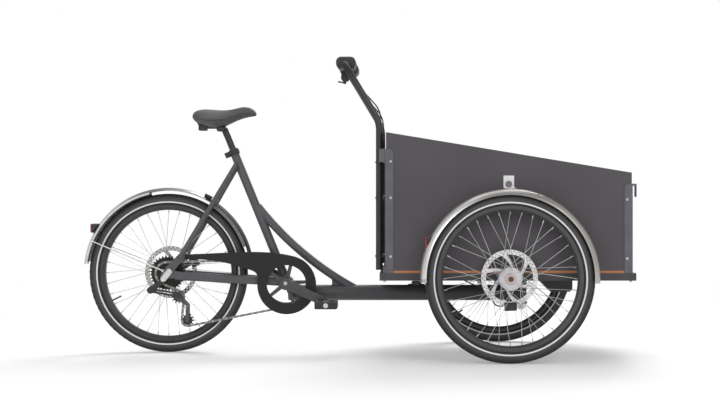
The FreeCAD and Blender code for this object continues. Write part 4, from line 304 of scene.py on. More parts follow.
# %% [markdown]
# A product picture like this stands on a white sweep, one sheet that curves up far behind the object,
# beyond the place where a camera stands to see it from behind. It is a plane whose rear edge is
# extruded upwards and rounded by a bevel.

# %% Sweep
sweep_half_width = 21
sweep_back = 14
sweep_front = -14
sweep_height = 12
sweep_bevel = 3

bpy.ops.mesh.primitive_plane_add(size=2, location=(0, 0, 0))
sweep = bpy.context.object
sweep.name = "studio_sweep"
sweep.scale = (sweep_half_width, (sweep_back - sweep_front) / 2, 1)
bpy.ops.object.transform_apply(location=True, rotation=True, scale=True)
bpy.ops.object.mode_set(mode="EDIT")
bpy.ops.mesh.select_all(action="DESELECT")
bpy.ops.mesh.select_mode(type="EDGE")
bpy.ops.object.mode_set(mode="OBJECT")
for edge in sweep.data.edges:
    edge.select = all(sweep.data.vertices[index].co.y > 0 for index in edge.vertices)
bpy.ops.object.mode_set(mode="EDIT")
bpy.ops.mesh.extrude_region_move(TRANSFORM_OT_translate={"value": (0, 0, sweep_height)})
bpy.ops.object.mode_set(mode="OBJECT")
bend = sweep.modifiers.new("bend", "BEVEL")
bend.width = sweep_bevel
bend.segments = 12
bpy.ops.object.shade_smooth()


def sweep_finish(name):
    """White to the eye and to mirrors, fully so away from the object, and shaded by it close by."""
    material = bpy.data.materials.new(name)
    material.use_nodes = True
    tree = material.node_tree
    tree.nodes.remove(tree.nodes["Principled BSDF"])
    paper = add_node(tree, "BsdfDiffuse")
    paper.inputs["Color"].default_value = (0.86, 0.86, 0.86, 1)
    white = add_node(tree, "Emission")
    rays = add_node(tree, "LightPath").outputs
    seen = math_node(tree, "MAXIMUM", rays["Is Camera Ray"], rays["Is Glossy Ray"])
    seen = math_node(tree, "MAXIMUM", seen, rays["Is Transmission Ray"])
    away = add_node(tree, "VectorMath", operation="LENGTH")
    wire(tree, add_node(tree, "TexCoord").outputs["Object"], away.inputs[0])
    share = ramp_node(tree, away.outputs["Value"], shade_reach, white_reach)
    share.node.inputs["To Min"].default_value = near_white_share
    mix = add_node(tree, "MixShader")
    wire(tree, math_node(tree, "MULTIPLY", seen, share), mix.inputs[0])
    wire(tree, paper.outputs[0], mix.inputs[1])
    wire(tree, white.outputs[0], mix.inputs[2])
    wire(tree, mix.outputs[0], tree.nodes["Material Output"].inputs["Surface"])
    return material


shade_reach = 1.2
white_reach = 2.6
near_white_share = 0.24
sweep.data.materials.append(sweep_finish("sweep_white"))
print("sweep", 2 * sweep_half_width, "m wide")

# %% [markdown]
# The light comes from large soft boxes. A wide one hangs high behind the object, so that its soft
# shadow falls forward under the wheels, one more hangs above, and two stand in front and fill the near
# side. The world is plain white, at a level where a colour looks about as it is written.

# %% World and lamps
bpy.context.scene.view_settings.view_transform = "Standard"
world_strength = 0.56
world = bpy.data.worlds.new("studio")
world.use_nodes = True
bpy.context.scene.world = world
world_tree = world.node_tree
background = world_tree.nodes["Background"]
background.inputs["Color"].default_value = (1, 1, 1, 1)
rays = add_node(world_tree, "LightPath").outputs
seen = math_node(world_tree, "MAXIMUM", rays["Is Camera Ray"], rays["Is Transmission Ray"])
extra = math_node(world_tree, "MULTIPLY", seen, 1 - world_strength)
wire(world_tree, math_node(world_tree, "ADD", world_strength, extra), background.inputs["Strength"])


def soft_box(name, place, aim, size, power):
    """A square area lamp that looks at a point."""
    way = Vector(aim) - Vector(place)
    turn = way.to_track_quat("-Z", "Y").to_euler()
    bpy.ops.object.light_add(type="AREA", location=place, rotation=turn)
    lamp = bpy.context.object
    lamp.name = name
    lamp.data.size = size
    lamp.data.energy = power
    return lamp


lamps = (("top_box", (1.1, 3.0, 3.7), (0.2, 0, 0.3), 2.6, 200),
         ("high_box", (0, 0.2, 4.6), (0, 0, 0.4), 3.0, 40),
         ("front_box", (2.4, -4.2, 2.4), (0.3, 0, 0.5), 2.2, 50),
         ("rear_box", (-2.4, -4.2, 2.4), (-0.3, 0, 0.5), 2.2, 46))
for name, place, aim, size, power in lamps:
    soft_box(name, place, aim, size, power)
print(len(lamps), "lamps ready")

# %% [markdown]
# The frame, the box's rails and the bar are powder coated in a matte charcoal. Powder melts into a
# skin with a faint orange peel, a drifting gloss and hardly any change of colour. The main tube, the
# steering head and the axle beam under the box get the same coat drawn darker: painted shade. The chain
# guard, the cranks and the brake parts are the same idea in black, a little smoother.

# %% Coated metal
orange_peel = 0.000008
# painted shade: the charcoal coat made darker for the tubes that lie under the box
shaded_low_coat = grain_finish("shaded_low_coat", (0.048, 0.047, 0.051), (0.06, 0.059, 0.064), 0.5, 9, 900, orange_peel)
charcoal_coat = grain_finish("charcoal_coat", (0.066, 0.065, 0.071), (0.08, 0.079, 0.086), 0.46, 9, 900, orange_peel)
arm_coat = grain_finish("arm_coat", (0.058, 0.058, 0.061), (0.072, 0.072, 0.075), 0.42, 24, 1500, 0.00002,
                        metallic=0.2)
ring_coat = grain_finish("ring_coat", (0.036, 0.0352, 0.0335), (0.05, 0.049, 0.047), 0.42, 24, 1500, 0.00002)
black_coat = grain_finish("black_coat", (0.016, 0.016, 0.017), (0.026, 0.026, 0.027), 0.4, 14, 1500, 0.00002)
guard_coat = grain_finish("guard_coat", (0.0115, 0.0115, 0.0113), (0.0155, 0.0155, 0.0152), 0.55, 7, 1300, 0.00003,
                          Specular_IOR_Level=0.32)
rim_coat = grain_finish("rim_coat", (0.026, 0.026, 0.0275), (0.034, 0.034, 0.036), 0.42, 20, 1200, 0.00001)
dark_alloy = grain_finish("dark_alloy", (0.085, 0.085, 0.088), (0.13, 0.13, 0.135), 0.38, 26, 1600, 0.00002,
                          metallic=0.6)
print(len(bpy.data.materials), "materials so far, the coats among them")

# %% [markdown]
# The bare metals: polished sheet on the mudguards, satin steel on spokes, bolts and chain, and the
# brake discs, whose rubbed band has rings round the axle. Polished sheet still shows a soft haze and
# long rolling lines, so its roughness comes from stretched noise. The mudguards' colour changes round
# the axle, lighter behind and darker in front and on top: painted light and painted shade. The front
# discs are drawn near-white and not metallic: a painted reflection.

# %% Bare metal
def brushed_metal(name, color, roughness, spread, stretch, scale, depth):
    """Metal with fine lines along one direction."""
    material, tree, shader, place = start_material(name, roughness, 1.0)
    brush = use_group(tree, brush_group, stretched(tree, place, stretch), Scale=scale, Roughness=roughness,
                      Spread=spread)
    grain = use_group(tree, grain_group, place, Color=(*color, 1), Worn_Color=faded(color, 0.82), Patch_Scale=30,
                      Fine_Scale=700, Roughness=roughness, Spread=spread)
    wire(tree, grain.outputs["Color"], shader.inputs["Base Color"])
    wire(tree, brush.outputs["Roughness"], shader.inputs["Roughness"])
    bump_into(tree, shader, brush.outputs["Height"], depth)
    return material


sheet_roughness = 0.36
black_roughness = 0.35
crown_starts, crown_ends = math.radians(40), math.radians(75)
rear_starts, rear_ends = math.radians(100), math.radians(135)


def shaded_guard_sheet(name, centre, front, crown, rear, black_angle=None):
    """Rolled sheet round an axle: long lines along it, and a colour that changes with the angle, one each in
    front, on top and behind, as painted light and shade, and black paint in front between level and an
    angle, where one is given."""
    material, tree, shader, place = start_material(name, sheet_roughness, 1.0)
    polar = use_group(tree, axle_group, centred(tree, place, centre))
    brush = use_group(tree, brush_group, polar.outputs["Rings"], Scale=60, Roughness=sheet_roughness, Spread=0.16)
    angle = polar.outputs["Angle"]
    # painted light and shade: the sheet's colour changes with the angle round the axle
    sheet_color_and_shade = mix_colors(tree, ramp_node(tree, angle, crown_starts, crown_ends), front, crown)
    sheet_color_and_shade = mix_colors(tree, ramp_node(tree, angle, rear_starts, rear_ends), sheet_color_and_shade, rear)
    clouds = math_node(tree, "MULTIPLY", noise_node(tree, place, 9, 4), 0.25)
    sheet_color_and_shade = mix_colors(tree, clouds, sheet_color_and_shade, (0.3, 0.29, 0.28, 1))
    roughness = brush.outputs["Roughness"]
    if black_angle:
        black = math_node(tree, "MULTIPLY", math_node(tree, "LESS_THAN", angle, black_angle),
                          math_node(tree, "GREATER_THAN", angle, 0))
        sheet_color_and_shade = mix_colors(tree, black, sheet_color_and_shade, (0.012, 0.012, 0.012, 1))
        wire(tree, math_node(tree, "SUBTRACT", 1, black), shader.inputs["Metallic"])
        roughness = math_node(tree, "ADD", roughness, math_node(tree, "MULTIPLY", black, black_roughness))
    wire(tree, sheet_color_and_shade, shader.inputs["Base Color"])
    wire(tree, roughness, shader.inputs["Roughness"])
    bump_into(tree, shader, brush.outputs["Height"], 0.000002)
    return material


def ring_metal(name, color, centre, roughness, inner_color, inner_radius, metallic=1.0):
    """Turned metal: rings round the axle, and another colour inside a radius, such as a bearing."""
    material, tree, shader, place = start_material(name, roughness, metallic)
    polar = use_group(tree, axle_group, centred(tree, place, centre))
    brush = use_group(tree, brush_group, polar.outputs["Rings"], Scale=160, Roughness=roughness, Spread=0.2)
    grain = use_group(tree, grain_group, place, Color=(*color, 1), Worn_Color=faded(color, 0.8), Patch_Scale=40,
                      Fine_Scale=600, Roughness=roughness, Spread=0.1)
    outside = ramp_node(tree, polar.outputs["Radius"], inner_radius - 0.0002, inner_radius + 0.0002)
    tint = mix_colors(tree, outside, (*inner_color, 1), grain.outputs["Color"])
    wire(tree, tint, shader.inputs["Base Color"])
    wire(tree, brush.outputs["Roughness"], shader.inputs["Roughness"])
    bump_into(tree, shader, brush.outputs["Height"], 0.00001)
    return material


# the front, top and rear colours are painted shade and painted light: darker on top, lighter behind
polished_sheet = shaded_guard_sheet("polished_sheet", left_axle, (0.56, 0.53, 0.5, 1), (0.33, 0.32, 0.31, 1),
                                   (0.84, 0.82, 0.82, 1))
tipped_sheet = shaded_guard_sheet("tipped_sheet", rear_axle, (0.2, 0.195, 0.19, 1), (0.26, 0.255, 0.25, 1),
                                 (0.74, 0.73, 0.73, 1), math.radians(63))
satin_steel = brushed_metal("satin_steel", (0.56, 0.56, 0.555), 0.3, 0.15, (20, 20, 20), 30, 0.00001)
chain_steel = brushed_metal("chain_steel", (0.47, 0.455, 0.44), 0.34, 0.2, (30, 30, 30), 40, 0.00001)
chain_dark = brushed_metal("chain_dark", (0.25, 0.24, 0.23), 0.42, 0.2, (30, 30, 30), 40, 0.00001)
bearing_radius = 0.0126
copper = (0.62, 0.3, 0.16)
front_hub_metal = ring_metal("front_hub_metal", (0.66, 0.64, 0.66), left_axle, 0.3, copper, bearing_radius, 0.7)
rear_hub_metal = ring_metal("rear_hub_metal", (0.5, 0.5, 0.49), rear_axle, 0.34, (0.3, 0.3, 0.3), bearing_radius)
# steel like the rear disc, but drawn near-white and not metallic: a painted reflection of the bright studio
front_disc_painted_reflection = ring_metal("front_disc_painted_reflection", (0.93, 0.915, 0.915), left_axle, 0.28, (0.5, 0.5, 0.5), 0.014, 0.0)
rear_disc_metal = ring_metal("rear_disc_metal", (0.42, 0.41, 0.4), rear_axle, 0.28, (0.3, 0.3, 0.3), 0.014)
cog_metal = ring_metal("cog_metal", (0.045, 0.0435, 0.042), rear_axle, 0.34, (0.03, 0.03, 0.03), 0.018)
print(len(bpy.data.materials), "materials with the bare metals")

# %% [markdown]
# The tyres are dark rubber with a reflective band moulded into each side wall. The band is a ring at
# one radius, so it is drawn from the distance to the axle. The rubber is darker towards the rim and
# towards the tread: painted shade where the side wall turns away.

# %% Tyre rubber
stripe_radius = 0.2705
stripe_half = 0.0024
stripe_blur = 0.0002
bead_radius = 0.264
shoulder_radius = 0.297


def tyre_finish(name, centre):
    """Rubber with the band, darker towards the rim and the tread: painted shade where the wall turns away."""
    material, tree, shader, place = start_material(name, 0.7, 0.0)
    polar = use_group(tree, axle_group, centred(tree, place, centre))
    grain = use_group(tree, grain_group, place, Color=(0.052, 0.052, 0.054, 1), Worn_Color=(0.068, 0.068, 0.07, 1),
                      Patch_Scale=11, Fine_Scale=800, Roughness=0.72, Spread=0.2)
    radius = polar.outputs["Radius"]
    inside = ramp_node(tree, radius, stripe_radius - stripe_half - stripe_blur, stripe_radius - stripe_half)
    outside = ramp_node(tree, radius, stripe_radius + stripe_half, stripe_radius + stripe_half + stripe_blur)
    band = math_node(tree, "SUBTRACT", inside, outside)
    # painted shade: the rubber darkens towards the rim and towards the tread
    near_rim = math_node(tree, "SUBTRACT", 1, ramp_node(tree, radius, bead_radius, stripe_radius - stripe_half))
    near_road = ramp_node(tree, radius, stripe_radius + stripe_half, shoulder_radius)
    wall_turn_shade = math_node(tree, "MULTIPLY", math_node(tree, "MAXIMUM", near_rim, near_road), 0.85)
    rubber = mix_colors(tree, wall_turn_shade, grain.outputs["Color"], (0.014, 0.014, 0.014, 1))
    wire(tree, mix_colors(tree, band, rubber, (0.74, 0.74, 0.74, 1)), shader.inputs["Base Color"])
    wire(tree, math_node(tree, "SUBTRACT", grain.outputs["Roughness"], math_node(tree, "MULTIPLY", band, 0.3)),
         shader.inputs["Roughness"])
    bump_into(tree, shader, grain.outputs["Height"], 0.00006)
    return material


rear_tyre_rubber = tyre_finish("rear_tyre_rubber", rear_axle)
front_tyre_rubber = tyre_finish("front_tyre_rubber", left_axle)
print("side band from", stripe_radius - stripe_half, "to", stripe_radius + stripe_half, "m")

# %% [markdown]
# The box is film-faced plywood: a dark resin film with a faint printed mesh on both faces, and bare
# layered wood on every cut edge. The edges are found by the direction that a face looks in. A side
# wall's edges look up, down or along the tricycle, and the floor's edges look sideways.

# %% Plywood
wall_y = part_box("wall_panels")[1].y
panel_thickness = 0.012
film_color = (0.057, 0.0505, 0.059)
film_worn = (0.069, 0.062, 0.071)
layer_thickness = 0.0015


def ply_finish(name, edge_mask):
    """Film on the faces and layered wood where edge_mask, made from a face's direction, is one."""
    material, tree, shader, place = start_material(name, 0.5, 0.0)
    film = use_group(tree, grain_group, place, Color=(*film_color, 1), Worn_Color=(*film_worn, 1), Patch_Scale=3,
                     Fine_Scale=500, Roughness=0.5, Spread=0.2)
    facing = split_axes(tree, add_node(tree, "TexCoord").outputs["Normal"])
    edge, depth = edge_mask(tree, facing, split_axes(tree, place))
    layers = math_node(tree, "PINGPONG", depth, layer_thickness)
    dark_layer = ramp_node(tree, layers, 0.35 * layer_thickness, 0.65 * layer_thickness)
    figure = noise_node(tree, stretched(tree, place, (6, 6, 60)), 14, 5)
    wood = mix_colors(tree, figure, (0.42, 0.16, 0.065, 1), (0.6, 0.27, 0.12, 1))
    wood = mix_colors(tree, math_node(tree, "MULTIPLY", dark_layer, 0.45), wood, (0.2, 0.075, 0.03, 1))
    wire(tree, mix_colors(tree, edge, film.outputs["Color"], wood), shader.inputs["Base Color"])
    wire(tree, math_node(tree, "ADD", film.outputs["Roughness"], math_node(tree, "MULTIPLY", edge, 0.2)),
         shader.inputs["Roughness"])
    mesh_print = add_node(tree, "TexChecker")
    mesh_print.inputs["Scale"].default_value = 420
    wire(tree, place, mesh_print.inputs["Vector"])
    bump_into(tree, shader, math_node(tree, "ADD", mesh_print.outputs["Fac"], film.outputs["Height"]), 0.00003)
    return material


def wall_edges(tree, facing, spot):
    """The walls' top and bottom edges, and the side walls' ends, with the depth across their layers."""
    upward = math_node(tree, "GREATER_THAN", math_node(tree, "ABSOLUTE", facing["Z"], 0), 0.5)
    endways = math_node(tree, "GREATER_THAN", math_node(tree, "ABSOLUTE", facing["X"], 0), 0.5)
    outer = math_node(tree, "GREATER_THAN", math_node(tree, "ABSOLUTE", spot["Y"], 0), wall_y - panel_thickness)
    side_end = math_node(tree, "MULTIPLY", endways, outer)
    return math_node(tree, "MAXIMUM", upward, side_end), spot["Y"]


def floor_edges(tree, facing, spot):
    """The floor's rim, with the depth across its layers."""
    flat = math_node(tree, "GREATER_THAN", math_node(tree, "ABSOLUTE", facing["Z"], 0), 0.5)
    return math_node(tree, "SUBTRACT", 1, flat), spot["Z"]


wall_ply = ply_finish("wall_ply", wall_edges)
floor_ply = ply_finish("floor_ply", floor_edges)
print("plywood of", round(panel_thickness / layer_thickness), "layers")

# %% [markdown]
# Rubber, moulded plastic and vinyl differ in grain and gloss: the grips are soft and dull, the pedals
# and the derailleur's wheels are moulded, and the saddle's cover has a fine leather grain.

# %% Rubber and plastic
grip_rubber = grain_finish("grip_rubber", (0.024, 0.024, 0.0245), (0.034, 0.034, 0.0345), 0.55, 18, 700, 0.00008)
hose_rubber = grain_finish("hose_rubber", (0.011, 0.011, 0.011), (0.018, 0.018, 0.018), 0.45, 30, 900, 0.00002)
moulded_black = grain_finish("moulded_black", (0.018, 0.018, 0.018), (0.027, 0.027, 0.027), 0.5, 22, 1100, 0.00005)
saddle_vinyl = grain_finish("saddle_vinyl", (0.076, 0.076, 0.08), (0.092, 0.092, 0.097), 0.7, 15, 620, 0.00012,
                            Specular_IOR_Level=0.25)


def lens_and_case(name, centre, lens_color, split):
    """A lamp's red lens on the rear side of a black case, split at one place along the tricycle."""
    material, tree, shader, place = start_material(name, 0.3, 0.0, Coat_Weight=0.5, Coat_Roughness=0.1)
    spot = split_axes(tree, centred(tree, place, centre))
    case = ramp_node(tree, spot["X"], split - 0.0002, split + 0.0002)
    cells = add_node(tree, "TexVoronoi")
    cells.inputs["Scale"].default_value = 260
    wire(tree, place, cells.inputs["Vector"])
    lens = mix_colors(tree, cells.outputs["Distance"], (*lens_color, 1), (0.2, 0.004, 0.004, 1))
    wire(tree, mix_colors(tree, case, lens, (0.014, 0.014, 0.014, 1)), shader.inputs["Base Color"])
    bump_into(tree, shader, cells.outputs["Distance"], 0.0001)
    return material


lens_depth = 0.004
rear_lamp_finish = lens_and_case("rear_lamp_finish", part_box("rear_lamp")[0], (0.5, 0.012, 0.01), lens_depth)
print(len(bpy.data.materials), "materials with rubber and plastic")

# %% [markdown]
# Some imported nodes hold two finishes, such as a pedal with a bright cap, or a plated bracket with
# a dark bolt. The mesh of a imported node stays as it is, so the two finishes share one material, and
# a mask made from Object coordinates says which of them shows. The bar and the box's frame are one
# coat each, split by height into painted shade and painted light.

# %% Nodes with two finishes
def two_finish(name, first, second, mask_of):
    """Two surfaces, each a colour, a roughness and a metallic level, split by a mask."""
    material, tree, shader, place = start_material(name, first[1], first[2])
    mask = mask_of(tree, place)
    colors = []
    for color, roughness, metallic in (first, second):
        colors.append(use_group(tree, grain_group, place, Color=(*color, 1), Worn_Color=faded(color, 0.82),
                                Patch_Scale=16, Fine_Scale=900, Roughness=roughness, Spread=0.15))
    wire(tree, mix_colors(tree, mask, colors[0].outputs["Color"], colors[1].outputs["Color"]),
         shader.inputs["Base Color"])
    for label, place_in_finish in (("Roughness", 1), ("Metallic", 2)):
        change = second[place_in_finish] - first[place_in_finish]
        if change:
            level = math_node(tree, "ADD", first[place_in_finish], math_node(tree, "MULTIPLY", mask, change))
            wire(tree, level, shader.inputs[label])
    bump_into(tree, shader, colors[0].outputs["Height"], 0.00001)
    return material


def near_axis(centre, reach):
    """A mask that is one within a distance of an axis along Y."""
    def mask(tree, place):
        polar = use_group(tree, axle_group, centred(tree, place, centre))
        return math_node(tree, "LESS_THAN", polar.outputs["Radius"], reach)
    return mask


def near_middle(reach):
    """A mask that is one within a distance of the mid-plane."""
    def mask(tree, place):
        return math_node(tree, "LESS_THAN", math_node(tree, "ABSOLUTE", split_axes(tree, place)["Y"], 0), reach)
    return mask


def over_height(height, soft=0.0005):
    """A mask that is one over a height, and fades out below it."""
    def mask(tree, place):
        return ramp_node(tree, split_axes(tree, place)["Z"], height - soft, height)
    return mask


# one black coat; above 1.06 m its colour is made darker to hold back the top lamp's highlight on the bend: painted
# shade
bar_coat_shaded_top = two_finish("bar_coat_shaded_top", ((0.024, 0.024, 0.0253), 0.36, 0.0), ((0.014, 0.014, 0.0147), 0.8, 0.0),
                      over_height(1.06, 0.07))
bracket_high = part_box("mudguard_brackets")[1].z
bracket_bolt = Vector((left_axle.x, 0, bracket_high - 0.031))
plated_bracket = two_finish("plated_bracket", ((0.82, 0.82, 0.825), 0.4, 0.1), ((0.2, 0.2, 0.203), 0.4, 0.5),
                            near_axis(bracket_bolt, 0.0122))
stay_wire = two_finish("stay_wire", ((0.62, 0.62, 0.615), 0.28, 1.0), ((0.012, 0.012, 0.012), 0.45, 0.0),
                       near_middle(0.02))
capped_pedal = two_finish("capped_pedal", ((0.72, 0.71, 0.7), 0.25, 0.8), ((0.02, 0.02, 0.02), 0.5, 0.0),
                          near_middle(0.1715))
banded_rim = two_finish("banded_rim", ((0.058, 0.058, 0.061), 0.42, 0.0), ((0.02, 0.02, 0.021), 0.45, 0.0),
                        near_axis(left_axle, 0.2468))
# one charcoal coat, drawn darker on the rails and lighter on the posts above 0.318 m: painted shade and painted
# light
shaded_rails_lit_posts = two_finish("shaded_rails_lit_posts", ((0.05, 0.0488, 0.055), 0.5, 0.0), ((0.108, 0.105, 0.121), 0.5, 0.0),
                            over_height(0.318))
print(len(bpy.data.materials), "materials with those of two finishes")

# %% [markdown]
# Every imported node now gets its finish. Their names are listed under each material, so that the
# whole dress of the tricycle can be read and changed in one place.

# %% Giving the nodes their finishes
finishes = {
    charcoal_coat: "seat_tube curved_tube bottom_bracket_shell chain_stays seat_stays",
    bar_coat_shaded_top: "handlebar",
    arm_coat: "crank_arms",
    ring_coat: "chainring",
    shaded_low_coat: "main_tube steering_head axle_beam",
    shaded_rails_lit_posts: "box_frame",
    guard_coat: "chain_guard",
    black_coat: "seat_collar seat_lever rear_caliper front_calipers seat_post saddle_rails derailleur_body"
                " lever_mounts brake_lever_left brake_lever_right shift_lever",
    rim_coat: "rear_rim",
    banded_rim: "front_left_rim front_right_rim",
    dark_alloy: "derailleur_cage",
    polished_sheet: "front_mudguards",
    tipped_sheet: "rear_mudguard",
    stay_wire: "rear_mudguard_stays",
    satin_steel: "rear_axle crank_axles kingpin box_bolts rear_spokes"
                 " front_left_spokes front_right_spokes",
    chain_steel: "chain",
    plated_bracket: "mudguard_brackets",
    front_hub_metal: "front_left_hub front_right_hub",
    rear_hub_metal: "rear_hub",
    front_disc_painted_reflection: "front_left_brake_disc front_right_brake_disc",
    rear_disc_metal: "rear_brake_disc",
    cog_metal: "cassette",
    rear_tyre_rubber: "rear_tyre",
    front_tyre_rubber: "front_left_tyre front_right_tyre",
    wall_ply: "wall_panels",
    floor_ply: "floor_panel",
    grip_rubber: "grips",
    hose_rubber: "brake_hoses",
    moulded_black: "jockey_upper jockey_lower",
    capped_pedal: "pedal_left pedal_right",
    saddle_vinyl: "saddle",
    rear_lamp_finish: "rear_lamp",
}
for material, names in finishes.items():
    for name in names.split():
        nodes[name].data.materials.clear()
        nodes[name].data.materials.append(material)
print(sum(len(names.split()) for names in finishes.values()), "nodes finished")

# %% [markdown]
# An operator acts on all that is selected, so a piece that is worked on is first made the only one.
# These helpers do that, copy a imported node, apply a modifier and give a finished piece its material
# and the body it moves with.

# %% Selecting and starting pieces
def only_select(piece):
    """Makes one object the only selected and the active one."""
    bpy.ops.object.select_all(action="DESELECT")
    piece.select_set(True)
    bpy.context.view_layer.objects.active = piece


def copy_of(node, name):
    """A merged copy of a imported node's mesh, as a new object."""
    piece = bpy.data.objects.new(name, nodes[node].data.copy())
    bpy.context.scene.collection.objects.link(piece)
    only_select(piece)
    bpy.ops.object.mode_set(mode="EDIT")
    bpy.ops.mesh.select_all(action="SELECT")
    bpy.ops.mesh.remove_doubles(threshold=merge_distance)
    bpy.ops.object.mode_set(mode="OBJECT")
    return piece


def apply_modifier(piece, kind, **settings):
    """Adds a modifier with its settings and applies it."""
    only_select(piece)
    modifier = piece.modifiers.new(kind.lower(), kind)
    for key, value in settings.items():
        setattr(modifier, key, value)
    bpy.ops.object.modifier_apply(modifier=modifier.name)


def dress(piece, material, body):
    """Gives a finished piece its material and its body."""
    piece.data.materials.clear()
    piece.data.materials.append(material)
    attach(piece, body)
    return piece


merge_distance = 0.00001
print("helpers ready, points merge within", merge_distance, "m")

# %% [markdown]
# The saddle is foam under a stretched vinyl cover, so a hard solid is only its start. A copy of the
# solid is shrunk a little, remeshed into even faces and blown up by a short cloth run with pressure,
# which rounds its corners as a tight cover does. How far a point may move is capped, so the saddle
# keeps its outline.

# %% Saddle cushion
saddle_voxel = 0.004
saddle_shrink = 0.0015
cover_pressure = 4
swell_cap = 0.003
swell_frames = 18
cushion = copy_of("saddle", "saddle_cushion")
apply_modifier(cushion, "DISPLACE", strength=-saddle_shrink, mid_level=0)
apply_modifier(cushion, "REMESH", mode="VOXEL", voxel_size=saddle_voxel)
apply_modifier(cushion, "SMOOTH", factor=0.5, iterations=6)
flat_places = [vertex.co.copy() for vertex in cushion.data.vertices]
only_select(cushion)
cloth = cushion.modifiers.new("cloth", "CLOTH")
cloth.settings.use_pressure = True
cloth.settings.uniform_pressure_force = cover_pressure
cloth.settings.effector_weights.gravity = 0
for step in range(1, swell_frames + 1):
    bpy.context.scene.frame_set(step)
bpy.ops.object.modifier_apply(modifier=cloth.name)
for vertex, start in zip(cushion.data.vertices, flat_places):
    move = vertex.co - start
    if move.length > swell_cap:
        vertex.co = start + move.normalized() * swell_cap
bpy.context.scene.frame_set(1)
apply_modifier(cushion, "SMOOTH", factor=0.5, iterations=4)
apply_modifier(cushion, "SUBSURF", levels=1, render_levels=1)
bpy.ops.object.shade_smooth()
dress(cushion, saddle_vinyl, "seat")
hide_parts("saddle")
print("saddle cushion", len(cushion.data.polygons), "faces")

# %% [markdown]
# A rolled edge runs round the skirt, where the cover is tucked under the base. Its line is found on the
# finished cushion, slice by slice, so that the tube along it lies on the cover.

# %% Rolled edge of the saddle
roll_slices = 24
roll_smoothing = 6
roll_radius = 0.0016


def skirt_points(piece, count):
    """Points round the widest line of a shape, found in slices along it, evened out and laid on it."""
    places = [vertex.co for vertex in piece.data.vertices]
    first = min(place.x for place in places)
    last = max(place.x for place in places)
    slices = []
    for index in range(count):
        middle = first + (last - first) * (index + 0.5) / count
        near = [place for place in places if abs(place.x - middle) < (last - first) / count]
        slices.append((min(near, key=lambda place: place.y), max(near, key=lambda place: place.y)))
    line = [pair[0] for pair in slices] + [pair[1] for pair in reversed(slices)]
    for turn in range(roll_smoothing):
        line = [(line[index - 1] + place * 2 + line[(index + 1) % len(line)]) / 4
                for index, place in enumerate(line)]
    return [piece.closest_point_on_mesh(place)[1] for place in line]


def tube_along(name, points, radius, closed):
    """A round tube along a smooth curve, made a mesh."""
    curve = bpy.data.curves.new(name, "CURVE")
    curve.dimensions = "3D"
    curve.bevel_depth = radius
    curve.bevel_resolution = 3
    curve.resolution_u = 6
    curve.use_fill_caps = not closed
    spline = curve.splines.new("NURBS")
    spline.points.add(len(points) - 1)
    for spot, place in zip(spline.points, points):
        spot.co = (*place, 1)
    spline.use_cyclic_u = closed
    spline.use_endpoint_u = not closed
    spline.order_u = 3
    piece = bpy.data.objects.new(name, curve)
    bpy.context.scene.collection.objects.link(piece)
    only_select(piece)
    bpy.ops.object.convert(target="MESH")
    bpy.ops.object.shade_smooth()
    return bpy.context.object


edge_roll = tube_along("saddle_edge_roll", skirt_points(cushion, roll_slices), roll_radius, True)
dress(edge_roll, moulded_black, "seat")
print("rolled edge", len(edge_roll.data.polygons), "faces")

# %% [markdown]
# A tyre's tread is a row of low blocks on each shoulder beside a smooth middle band. One pair of
# blocks is made at the top of the wheel, tilted to the round of the tyre, and spun round the axle as
# copies.

# %% Tread blocks
tyre_low, tyre_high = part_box("rear_tyre")
tyre_radius = (tyre_high.z - tyre_low.z) / 2
tyre_half_width = (tyre_high.y - tyre_low.y) / 2
tread_count = 76
tread_tilt = math.radians(38)
tread_slant = 0.35
tread_size = (0.017, 0.0085, 0.0016)
tread_bevel = 0.0005


def start_edit(name):
    """An empty mesh object in edit mode, ready for primitives."""
    bpy.ops.object.select_all(action="DESELECT")
    piece = bpy.data.objects.new(name, bpy.data.meshes.new(name))
    bpy.context.scene.collection.objects.link(piece)
    only_select(piece)
    bpy.ops.object.mode_set(mode="EDIT")
    return piece


def end_edit(piece):
    """Merges doubles, turns the faces outwards and leaves edit mode."""
    bpy.ops.mesh.select_all(action="SELECT")
    bpy.ops.mesh.remove_doubles(threshold=merge_distance)
    bpy.ops.mesh.normals_make_consistent(inside=False)
    bpy.ops.object.mode_set(mode="OBJECT")
    return piece


def add_block(centre, size, turn, bevel):
    """A bevelled box in the mesh being edited."""
    bpy.ops.mesh.select_all(action="DESELECT")
    bpy.ops.mesh.primitive_cube_add(size=1, location=centre, rotation=turn, scale=size)
    bpy.ops.mesh.bevel(offset=bevel, segments=1, affect="EDGES")


def add_round(centre, radius, depth, turn, sides, bevel):
    """A bevelled cylinder in the mesh being edited."""
    bpy.ops.mesh.select_all(action="DESELECT")
    bpy.ops.mesh.primitive_cylinder_add(vertices=sides, radius=radius, depth=depth, location=centre, rotation=turn)
    bpy.ops.mesh.bevel(offset=bevel, segments=1, affect="EDGES")


def spin_copies(count, centre):
    """Copies of all that is in the mesh, evenly round an axle along Y."""
    bpy.ops.mesh.select_all(action="SELECT")
    bpy.ops.mesh.spin(steps=count, dupli=True, angle=math.tau, center=centre, axis=(0, 1, 0))


